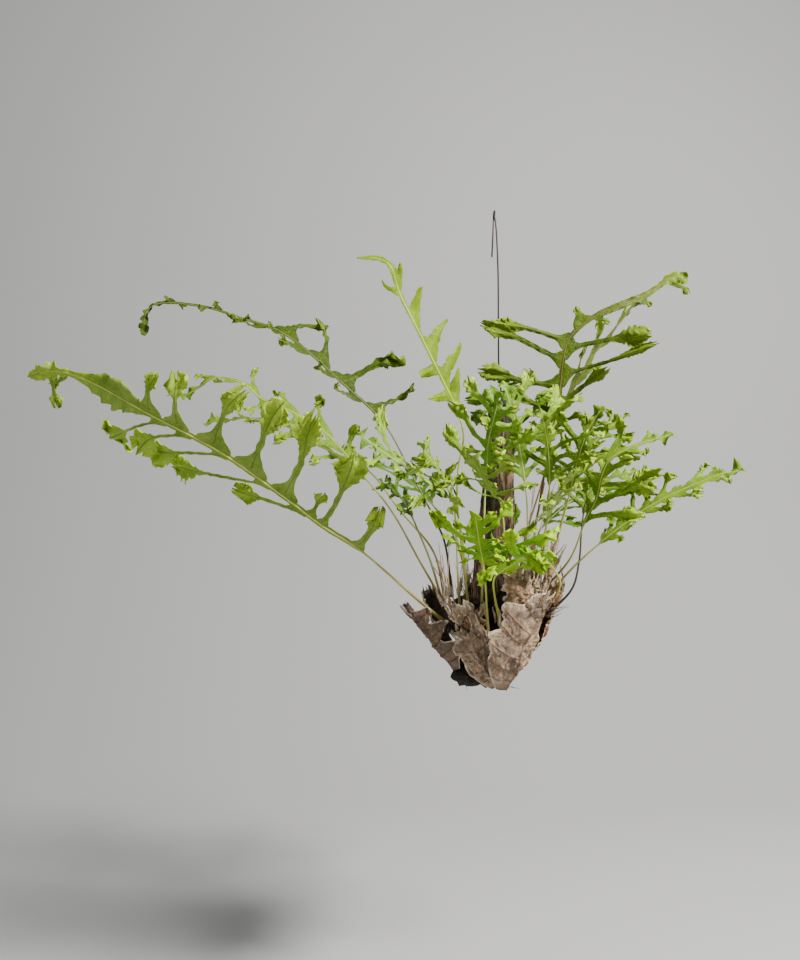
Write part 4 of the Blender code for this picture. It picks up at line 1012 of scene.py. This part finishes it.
def knob_mesh():
    """The blackened knob in which the branch ends, low on the left."""
    rows, sides = 60, 64
    share = np.linspace(0, 1, rows)
    places, _ = sampled(KNOB_LINE, share)
    radii = KNOB_RADIUS * np.sqrt(np.sin(math.pi * (0.02 + 0.96 * share))) * (1 - 0.45 * share)
    spots = ring_spots(ring_angles(sides), share, 1, 3.0)
    lump = 1 + 0.30 * layered(spots, 2.4, 81, 4) + 0.10 * value_noise(spots, 14.0, 82)
    return tube_mesh(places, radii, sides, 0, lump)


def spike(place, heading, length, radius, seed):
    """A thin curved fibre or scale."""
    shares = np.linspace(0, 1, 7)
    sway = np.random.default_rng(seed).normal(size=3) * 0.35
    line = place + (heading + sway * shares[:, None]) * (shares * length)[:, None]
    return tube_mesh(line, radius * (1 - 0.85 * shares), 4, 1)


def build_rhizome(looks):
    """The furry creeping stem, the root mass inside the nest, and loose fibres."""
    rng = np.random.default_rng(77)
    rows, sides = 220, 36
    fractions = np.linspace(0, 1, rows)
    places, headings = sampled(RHIZOME_LINE, fractions)
    ends = np.minimum(1.0, 0.45 + 9 * np.minimum(fractions, 1 - fractions))
    spots = ring_spots(ring_angles(sides), fractions, 2, 24)
    lump = 1 + 0.16 * layered(spots, 1.2, 5) + 0.08 * value_noise(spots, 6.0, 8)
    parts = [tube_mesh(places, RHIZOME_RADIUS * ends, sides, 0, lump)]
    for k in range(RHIZOME_SCALES):
        at = rng.integers(4, rows - 4)
        out = unit(np.cross(headings[at], rng.normal(size=3)))
        lean = unit(out + headings[at] * rng.uniform(-0.6, 1.0))
        parts.append(spike(places[at] + out * RHIZOME_RADIUS * 0.9 * ends[at], lean,
                           rng.uniform(0.003, 0.007), 0.0006, k))
    parts.append(root_mass())
    for k in range(ROOT_FIBRES):
        turn = rng.uniform(0, 2 * math.pi)
        reach = rng.uniform(0.020, 0.036)
        foot = np.array([-0.010 + reach * math.cos(turn), reach * math.sin(turn), rng.uniform(-0.52, -0.47)])
        parts.append(fibre(foot, rng.uniform(0.025, 0.070), 900 + k))
    for k in range(BRISTLES):
        foot = np.array([0.060, -0.020, -0.478]) + rng.uniform(-1, 1, 3) * [0.006, 0.014, 0.012]
        lean = unit(np.array([1.0, -0.4, rng.uniform(-0.4, 0.8)]))
        parts.append(spike(foot, lean, rng.uniform(0.010, 0.018), 0.0008, 2000 + k))
    mesh_object("furry_rhizome", parts, looks["rhizome"], "rhizome")


def fibre(foot, length, seed):
    """A thin root that wanders upwards."""
    rng = np.random.default_rng(seed)
    shares = np.linspace(0, 1, 14)
    heading = unit(np.array([rng.uniform(-0.25, 0.25), rng.uniform(-0.2, 0.2), 1.0]))
    line = foot + heading * (shares * length)[:, None]
    for axis in (0, 1):
        line[:, axis] += 0.10 * length * waves(seed + axis, 2, 0.4, 1.2)(shares) * shares
    return tube_mesh(line, rng.uniform(0.0003, 0.0007) * (1 - 0.6 * shares), 5, 1)


def root_mass():
    """The lumpy humus that fills the nest round the wood; its near-black colour is partly its own and partly
    painted shade of the nest's hollow.
    """
    rows, sides = 84, 112
    heights = np.linspace(HUMUS_BOTTOM, HUMUS_TOP, rows)
    share = np.linspace(0, 1, rows)
    places = np.stack([-0.010 + 0.010 * share, -0.004 + 0 * share, heights], axis=1)
    radii = HUMUS_RADIUS * np.sin(math.pi * (0.12 + 0.72 * share)) ** 0.8
    spots = ring_spots(ring_angles(sides), share, 1, 3.4)
    lump = 1 + 0.22 * layered(spots, 3.0, 61, 4) + 0.07 * value_noise(spots, 26.0, 66)
    return tube_mesh(places, radii, sides, 0, lump)


DEAD_STALKS = {
    "left": mm((-58, -12, -470), (-60, -14, -445), (-68, -18, -424)),
    "inner": mm((44, -10, -474), (46, -18, -440), (44, -22, -404)),
    "right": mm((58, -4, -458), (66, -6, -430), (70, -6, -396)),
    "tall": mm((40, 12, -472), (44, 0, -420), (60, -12, -330)),
}


def build_dead_stalks(looks):
    """Bare stalks of old fronds, frayed into strands."""
    for seed, (name, line) in enumerate(DEAD_STALKS.items(), start=500):
        rng = np.random.default_rng(seed)
        parts = []
        for k in range(DEAD_STALK_STRANDS):
            moved = np.array(line) + rng.normal(size=3) * [0.004, 0.004, 0.003] * (k > 0)
            moved[-1] += rng.normal(size=3) * [0.005, 0.004, 0.016] * (k > 0)
            shares = np.linspace(0, 1, 44)
            places, _ = sampled(moved, shares)
            radii = DEAD_STALK_RADIUS * (1 - 0.45 * shares) * (1 + 0.14 * waves(seed + k, 4, 3, 12)(shares))
            parts.append(tube_mesh(places, radii * (1.0 if k == 0 else 0.6), 8, 0))
        mesh_object("withered_" + name, parts, looks["dead"], "dead_stalk_" + name)


# --- Materials -------------------------------------------------------------------


class Look:
    """A Principled material and short ways to feed it with procedural detail."""

    def __init__(self, name, roughness=0.6):
        self.material = bpy.data.materials.new(name)
        self.material.use_nodes = True
        self.tree = self.material.node_tree
        self.shader = self.tree.nodes["Principled BSDF"]
        self.set("Roughness", roughness)
        self.coords = self.tree.nodes.new("ShaderNodeTexCoord").outputs["Object"]

    def set(self, name, value):
        self.shader.inputs[name].default_value = value

    def feed(self, name, output):
        self.tree.links.new(output, self.shader.inputs[name])

    def node(self, kind, inputs=(), **settings):
        made = self.tree.nodes.new("ShaderNode" + kind)
        for key, value in settings.items():
            setattr(made, key, value)
        for key, value in dict(inputs).items():
            if hasattr(value, "is_output"):
                self.tree.links.new(value, made.inputs[key])
            else:
                made.inputs[key].default_value = value
        return made

    def map(self, name, axis):
        """One coordinate of a UV map."""
        made = self.node("UVMap", uv_map=name)
        return self.node("SeparateXYZ", {"Vector": made.outputs["UV"]}).outputs[axis]

    def stretched(self, scale):
        return self.node("Mapping", {"Vector": self.coords, "Scale": scale}).outputs["Vector"]

    def noise(self, scale, detail=4.0, rough=0.55, coords=None, distortion=0.0):
        return self.node("TexNoise", {"Vector": coords or self.coords, "Scale": scale, "Detail": detail,
                                      "Roughness": rough, "Distortion": distortion}).outputs["Fac"]

    def cracks(self, scale, coords=None):
        return self.node("TexVoronoi", {"Vector": coords or self.coords, "Scale": scale},
                         feature="DISTANCE_TO_EDGE").outputs["Distance"]

    def ranged(self, value, low, high, first=0.0, last=1.0):
        return self.node("MapRange", {"Value": value, "From Min": low, "From Max": high,
                                      "To Min": first, "To Max": last}).outputs["Result"]

    def math(self, operation, a, b=0.0):
        return self.node("Math", {0: a, 1: b}, operation=operation).outputs["Value"]

    def mixed(self, factor, a, b):
        made = self.node("Mix", data_type="RGBA")
        for key, value in (("Factor", factor), ("A", a), ("B", b)):
            socket = next(s for s in made.inputs if s.name == key and s.enabled)
            if hasattr(value, "is_output"):
                self.tree.links.new(value, socket)
            else:
                socket.default_value = (*value, 1.0) if isinstance(value, tuple) else value
        return next(s for s in made.outputs if s.enabled)

    def tint(self, colour, mask, strength, other):
        """The colour, with the other laid over it where the mask is."""
        return self.mixed(self.math("MULTIPLY", mask, strength), colour, other)

    def across(self):
        """How far from the midvein: 0 there, 0.5 at the edge."""
        return self.math("ABSOLUTE", self.math("SUBTRACT", self.map("Leaf", "X"), 0.5))

    def glow(self, weight, scale=0.001):
        self.set("Subsurface Weight", weight)
        self.set("Subsurface Scale", scale)

    def bump(self, height, distance, strength=1.0):
        made = self.node("Bump", {"Height": height, "Distance": distance, "Strength": strength})
        self.feed("Normal", made.outputs["Normal"])


def scaled(tone, factor):
    """A darker or lighter tone."""
    return tuple(factor * c for c in tone)


def leaf_look(name, dark, light, young, vein, glow, roughness):
    """A green leaf side: blotches, net veins, a midvein and a brighter growing edge."""
    look = Look(name, roughness)
    blotch = look.ranged(look.noise(38, 5), 0.35, 0.68)
    colour = look.mixed(blotch, dark, light)
    fine = look.ranged(look.noise(420, 3), 0.40, 0.62)
    colour = look.tint(colour, fine, 0.22, young)
    tip = look.ranged(look.map("Growth", "X"), 0.45, 1.0)
    across = look.across()
    rim = look.math("MULTIPLY", look.ranged(across, 0.38, 0.5), tip)
    colour = look.tint(colour, tip, 0.55, young)
    colour = look.tint(colour, rim, 0.5, tuple(min(1.0, 1.25 * c) for c in young))
    net = look.ranged(look.cracks(300), 0.0, 0.06, 1.0, 0.0)
    colour = look.tint(colour, net, 0.30, vein)
    middle = look.ranged(across, 0.012, 0.035, 1.0, 0.0)
    colour = look.tint(colour, middle, 0.65, vein)
    look.feed("Base Color", colour)
    height = look.math("ADD", look.math("MULTIPLY", net, 0.5), look.noise(160, 3))
    look.bump(look.math("ADD", height, middle), 0.0007, 0.8)
    look.glow(glow, 0.0012)
    look.set("Subsurface Radius", (0.5, 1.0, 0.15))
    look.set("Specular IOR Level", 0.20)
    return look.material


def stalk_look(name, base, top):
    """A streaked stalk that changes its tone from its foot to its tip."""
    look = Look(name, 0.45)
    place = look.map("Growth", "Y")
    colour = look.mixed(look.ranged(place, 0.02, 0.30), base, top)
    streak = look.ranged(look.noise(60, 4, coords=look.stretched((1, 1, 0.15))), 0.42, 0.62)
    colour = look.tint(colour, streak, 0.35, scaled(base, 0.6))
    look.feed("Base Color", colour)
    look.bump(look.noise(500, 3, coords=look.stretched((1, 1, 0.1))), 0.0003, 0.7)
    look.glow(0.15)
    return look.material


def paper_look(name, grey, tan, rust):
    """Dry frond: papery greys and tans, veins, rusty patches, dark specks, cream edges, and painted shade
    towards its foot.
    """
    look = Look(name, 0.78)
    colour = look.mixed(look.ranged(look.noise(26, 6, 0.62), 0.40, 0.60), grey, tan)
    patch = look.ranged(look.noise(34, 5, 0.6, distortion=0.6), 0.55, 0.70)
    colour = look.tint(colour, patch, 0.55, rust)
    streak = look.ranged(look.noise(120, 6, 0.68, distortion=1.2), 0.44, 0.64)
    colour = look.tint(colour, streak, 0.55, scaled(grey, 0.34))
    speck = look.ranged(look.noise(520, 2), 0.64, 0.70)
    colour = look.tint(colour, speck, 0.8, (0.05, 0.028, 0.016))
    net = look.ranged(look.cracks(170), 0.0, 0.05, 1.0, 0.0)
    colour = look.tint(colour, net, 0.40, scaled(tan, 0.40))
    turn = look.math("FRACT", look.math("MULTIPLY", look.map("Leaf", "Y"), float(NEST_VEINS)))
    away = look.math("SUBTRACT", 0.5, look.math("ABSOLUTE", look.math("SUBTRACT", turn, 0.5)))
    across = look.across()
    vein = look.math("MAXIMUM", look.ranged(away, 0.02, 0.06, 1.0, 0.0),
                     look.ranged(across, 0.008, 0.018, 1.0, 0.0))
    colour = look.tint(colour, vein, 0.60, scaled(rust, 0.36))
    # Painted shade: each dry frond is darker towards its foot, deep in the nest.
    low = look.ranged(look.map("Leaf", "Y"), 0.0, 0.14, 1.0, 0.0)
    colour = look.tint(colour, low, 0.5, scaled(grey, 0.35))
    edge = look.math("MULTIPLY", look.map("Growth", "X"), look.ranged(look.noise(90, 4), 0.38, 0.50))
    colour = look.tint(colour, edge, 0.9, (0.86, 0.72, 0.52))
    look.feed("Base Color", colour)
    ribs = look.math("MULTIPLY", look.math("ADD", net, vein), 0.35)
    look.bump(look.math("ADD", look.noise(240, 6, 0.7), ribs), 0.0014, 1.0)
    look.glow(0.12)
    return look.material


def bark_look():
    """Fibrous bark, pale where it is worn, black at its foot."""
    look = Look("weathered_bark", 0.9)
    strips = look.noise(90, 8, 0.65, coords=look.stretched((1, 1, 0.16)), distortion=0.8)
    colour = look.mixed(look.ranged(strips, 0.42, 0.58), (0.022, 0.013, 0.009), (0.26, 0.155, 0.090))
    pale = look.ranged(look.noise(150, 6, 0.6, coords=look.stretched((1, 1, 0.10))), 0.54, 0.70)
    colour = look.tint(colour, pale, 0.85, (0.60, 0.43, 0.27))
    dark = look.ranged(look.noise(24, 5, 0.6), 0.48, 0.66)
    colour = look.tint(colour, dark, 0.8, (0.022, 0.016, 0.012))
    place = look.node("SeparateXYZ", {"Vector": look.coords})
    top = look.ranged(place.outputs["Z"], -0.285, -0.262)
    low = look.ranged(place.outputs["Z"], -0.535, -0.550)
    colour = look.tint(colour, top, 0.85, (0.018, 0.013, 0.010))
    colour = look.tint(colour, low, 0.93, (0.010, 0.007, 0.005))
    look.feed("Base Color", colour)
    height = look.math("ADD", strips, look.math("MULTIPLY", look.noise(500, 5), 0.5))
    look.bump(height, 0.0022, 1.0)
    return look.material


def plain_noise_look(name, dark, light, scale, roughness, distance, stretch=(1, 1, 1)):
    """Two tones in patches, with light flecks."""
    look = Look(name, roughness)
    coords = look.stretched(stretch)
    colour = look.mixed(look.ranged(look.noise(scale, 6, 0.6, coords), 0.36, 0.64), dark, light)
    fleck = look.ranged(look.noise(scale * 5, 3, 0.6, coords), 0.58, 0.70)
    colour = look.tint(colour, fleck, 0.6, scaled(light, 1.5))
    look.feed("Base Color", colour)
    look.bump(look.noise(scale * 6, 5, 0.65, coords), distance, 0.9)
    return look.material


def wire_look():
    """Dark steel with a little rust."""
    look = Look("dark_steel_wire", 0.42)
    look.set("Metallic", 1.0)
    rust = look.ranged(look.noise(180, 6, 0.6), 0.46, 0.66)
    look.feed("Base Color", look.mixed(rust, (0.060, 0.058, 0.058), (0.085, 0.050, 0.034)))
    look.feed("Roughness", look.ranged(look.noise(260, 4), 0.35, 0.65, 0.34, 0.62))
    look.bump(look.noise(900, 4), 0.0002, 0.6)
    return look.material


# For each leaf: the upper side's dark, light and growing tip, then the under side's.
GREENS = {
    "mature": ((0.048, 0.125, 0.004), (0.190, 0.320, 0.018), (0.42, 0.60, 0.020),
               (0.165, 0.260, 0.032), (0.330, 0.430, 0.080), (0.52, 0.64, 0.070)),
    # Partly painted light: the sunny greens are lighter and yellower than the mature ones, partly their own
    # tone and partly light painted on the long left frond.
    "sunny": ((0.165, 0.270, 0.034), (0.345, 0.455, 0.085), (0.50, 0.72, 0.022),
              (0.150, 0.250, 0.028), (0.320, 0.430, 0.078), (0.52, 0.72, 0.022)),
    # Painted shade: these greens and the dark ones below are darker copies of the mature greens, for fronds
    # that lie in shade.
    "olive_painted_shade": ((0.026, 0.056, 0.002), (0.075, 0.125, 0.004), (0.26, 0.37, 0.012),
              (0.055, 0.095, 0.006), (0.130, 0.200, 0.016), (0.34, 0.44, 0.030)),
    "dark": ((0.020, 0.042, 0.002), (0.052, 0.095, 0.004), (0.20, 0.30, 0.010),
             (0.034, 0.066, 0.005), (0.090, 0.145, 0.012), (0.28, 0.38, 0.024)),
    "young": ((0.130, 0.330, 0.0005), (0.260, 0.520, 0.001), (0.50, 0.74, 0.002),
              (0.150, 0.340, 0.001), (0.280, 0.520, 0.002), (0.48, 0.70, 0.005)),
    "lime": ((0.090, 0.170, 0.0), (0.165, 0.265, 0.0), (0.30, 0.42, 0.0),
             (0.105, 0.185, 0.0), (0.190, 0.295, 0.0), (0.32, 0.44, 0.0)),
    "shaded": ((0.022, 0.075, 0.002), (0.080, 0.190, 0.005), (0.22, 0.38, 0.010),
               (0.070, 0.145, 0.010), (0.150, 0.260, 0.020), (0.28, 0.42, 0.026)),
    # Partly painted sheen: the pale greens are the mature ones made paler, partly their own greyer tone and
    # partly a painted silvery sheen.
    "pale": ((0.080, 0.190, 0.010), (0.220, 0.390, 0.040), (0.48, 0.66, 0.040),
             (0.190, 0.320, 0.040), (0.380, 0.520, 0.090), (0.54, 0.68, 0.080)),
}
# Like their leaves, the sunny stalks are lightened as painted light, and those of the fronds in shade
# darkened as painted shade.
STALKS = {
    "mature": ((0.20, 0.10, 0.028), (0.48, 0.50, 0.10)),
    "sunny": ((0.34, 0.24, 0.040), (0.84, 0.82, 0.16)),
    "olive_painted_shade": ((0.13, 0.055, 0.020), (0.22, 0.13, 0.035)),
    "dark": ((0.12, 0.065, 0.022), (0.24, 0.25, 0.07)),
    "young": ((0.34, 0.26, 0.050), (0.62, 0.72, 0.08)),
    "lime": ((0.34, 0.26, 0.050), (0.62, 0.70, 0.05)),
    "shaded": ((0.16, 0.085, 0.028), (0.34, 0.36, 0.10)),
    "pale": ((0.24, 0.15, 0.050), (0.58, 0.60, 0.22)),
    "sooty": ((0.020, 0.012, 0.009), (0.050, 0.032, 0.018)),
}
PAPERS = {
    "paper_grey": ((0.270, 0.185, 0.122), (0.660, 0.470, 0.305), (0.38, 0.155, 0.050)),
    # Painted shade: the dark paper is the grey paper darkened, for the dry fronds at the far left and back
    # left.
    "paper_grey_painted_shade": ((0.105, 0.070, 0.048), (0.290, 0.195, 0.125), (0.20, 0.075, 0.026)),
    "paper_tan": ((0.300, 0.175, 0.090), (0.680, 0.460, 0.260), (0.42, 0.180, 0.055)),
    # Painted light: the brown paper is the tan paper lightened, for the dry frond at the upper right that
    # lies in the leaves' shade.
    "paper_tan_painted_light": ((0.380, 0.215, 0.110), (0.820, 0.570, 0.370), (0.52, 0.210, 0.070)),
    "paper_rust": ((0.260, 0.095, 0.030), (0.500, 0.260, 0.110), (0.54, 0.140, 0.020)),
}

INSIDE_SHADE = 0.62


def make_looks():
    """The materials of every piece, by the look's name."""
    looks = {}
    for name, (dark, light, tip, under_dark, under_light, under_tip) in GREENS.items():
        vein = tuple(0.45 * c + 0.5 * t for c, t in zip(light, tip))
        upper = leaf_look("leaf_" + name, dark, light, tip, vein, 0.16, 0.50)
        under = leaf_look("underleaf_" + name, under_dark, under_light, under_tip,
                          scaled(under_dark, 0.6), 0.25, 0.60)
        looks[name] = [upper, under, stalk_look("stalk_" + name, *STALKS[name])]
    looks["sooty"] = looks["mature"][:2] + [stalk_look("stalk_sooty", *STALKS["sooty"])]
    for name, (grey, tan, rust) in PAPERS.items():
        inside = [scaled(tone, INSIDE_SHADE) for tone in (grey, tan, rust)]
        looks[name] = [paper_look(name, grey, tan, rust), paper_look(name + "_inside", *inside)]
    looks["bark"] = [bark_look()]
    # Partly painted shade: the rhizome and the humus round it are near black, partly their own dark brown and
    # partly the shade of the nest's hollow.
    looks["rhizome"] = [plain_noise_look("humus_scales_and_painted_shade", (0.008, 0.005, 0.003), (0.050, 0.028, 0.015),
                                         120, 0.95, 0.0020),
                        plain_noise_look("root_fibres", (0.060, 0.028, 0.012), (0.24, 0.13, 0.060),
                                         90, 0.85, 0.0004)]
    looks["dead"] = [plain_noise_look("withered_stalks", (0.24, 0.14, 0.07), (0.56, 0.41, 0.26),
                                      130, 0.75, 0.0004, (1, 1, 0.2))]
    looks["wire"] = [wire_look()]
    return looks


# --- Camera, light and stage -------------------------------------------------------

CAMERA_PLACE = (-0.115, -1.250, -0.327)
CAMERA_LENS = 38.4
FLOOR_Z = -0.98
FLOOR_FRONT, FLOOR_BACK = -4.0, 0.8
STAGE_CURVE_RADIUS = 0.8
STAGE_CURVE_STEPS = 12
STAGE_HALF_WIDTH = 4.0
STAGE_TOP = 3.0
LIGHTS_AIM = (-0.1, 0, -0.35)
WORLD_COLOUR = (0.92, 0.96, 1.0, 1)
WORLD_STRENGTH = 0.17


def camera():
    data = bpy.data.cameras.new("camera")
    data.lens = CAMERA_LENS
    obj = bpy.data.objects.new("camera", data)
    obj.location = CAMERA_PLACE
    obj.rotation_euler = (math.radians(90), 0, 0)
    bpy.context.scene.collection.objects.link(obj)
    bpy.context.scene.camera = obj


def area_light(name, place, size, power, colour):
    """A round soft light that shines on the plant."""
    data = bpy.data.lights.new(name, "AREA")
    data.shape = "DISK"
    data.size = size
    data.energy = power
    data.color = colour
    obj = bpy.data.objects.new(name, data)
    obj.location = place
    away = np.array(place) - np.array(LIGHTS_AIM)
    obj.rotation_euler = (math.atan2(math.hypot(away[0], away[1]), away[2]), 0,
                          math.atan2(away[0], -away[1]))
    bpy.context.scene.collection.objects.link(obj)


def backdrop():
    """A pale floor that curves up into a wall behind."""
    profile = [(FLOOR_FRONT, FLOOR_Z), (FLOOR_BACK, FLOOR_Z)]
    for k in range(1, STAGE_CURVE_STEPS + 1):
        angle = math.pi / 2 * k / STAGE_CURVE_STEPS
        profile.append((FLOOR_BACK + STAGE_CURVE_RADIUS * math.sin(angle),
                        FLOOR_Z + STAGE_CURVE_RADIUS * (1 - math.cos(angle))))
    profile.append((FLOOR_BACK + STAGE_CURVE_RADIUS, STAGE_TOP))
    points = [(x, y, z) for y, z in profile for x in (-STAGE_HALF_WIDTH, STAGE_HALF_WIDTH)]
    faces = [(2 * k, 2 * k + 1, 2 * k + 3, 2 * k + 2) for k in range(len(profile) - 1)]
    data = bpy.data.meshes.new("backdrop")
    data.from_pydata(points, [], faces)
    data.shade_smooth()
    obj = bpy.data.objects.new("backdrop", data)
    bpy.context.scene.collection.objects.link(obj)
    look = Look("backdrop_grey", 0.9)
    look.set("Base Color", (0.55, 0.55, 0.54, 1.0))
    data.materials.append(look.material)


def world_light():
    world = bpy.data.worlds.new("studio")
    world.use_nodes = True
    background = world.node_tree.nodes["Background"]
    background.inputs["Color"].default_value = WORLD_COLOUR
    background.inputs["Strength"].default_value = WORLD_STRENGTH
    bpy.context.scene.world = world


def main():
    camera()
    world_light()
    backdrop()
    area_light("key", (1.1, -0.8, 1.0), size=0.45, power=108, colour=(1.0, 0.985, 0.95))
    area_light("fill", (-1.4, -1.2, 0.2), size=1.4, power=5, colour=(0.94, 0.97, 1.0))
    looks = make_looks()
    for seed, (name, spec) in enumerate(FRONDS.items(), start=1):
        build_frond(name, spec, seed, looks)
    build_nest(looks)
    build_wood(looks)
    build_rhizome(looks)
    build_dead_stalks(looks)
    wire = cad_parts["hanger_wire"]
    wire.data.materials.clear()
    wire.data.materials.append(looks["wire"][0])


main()
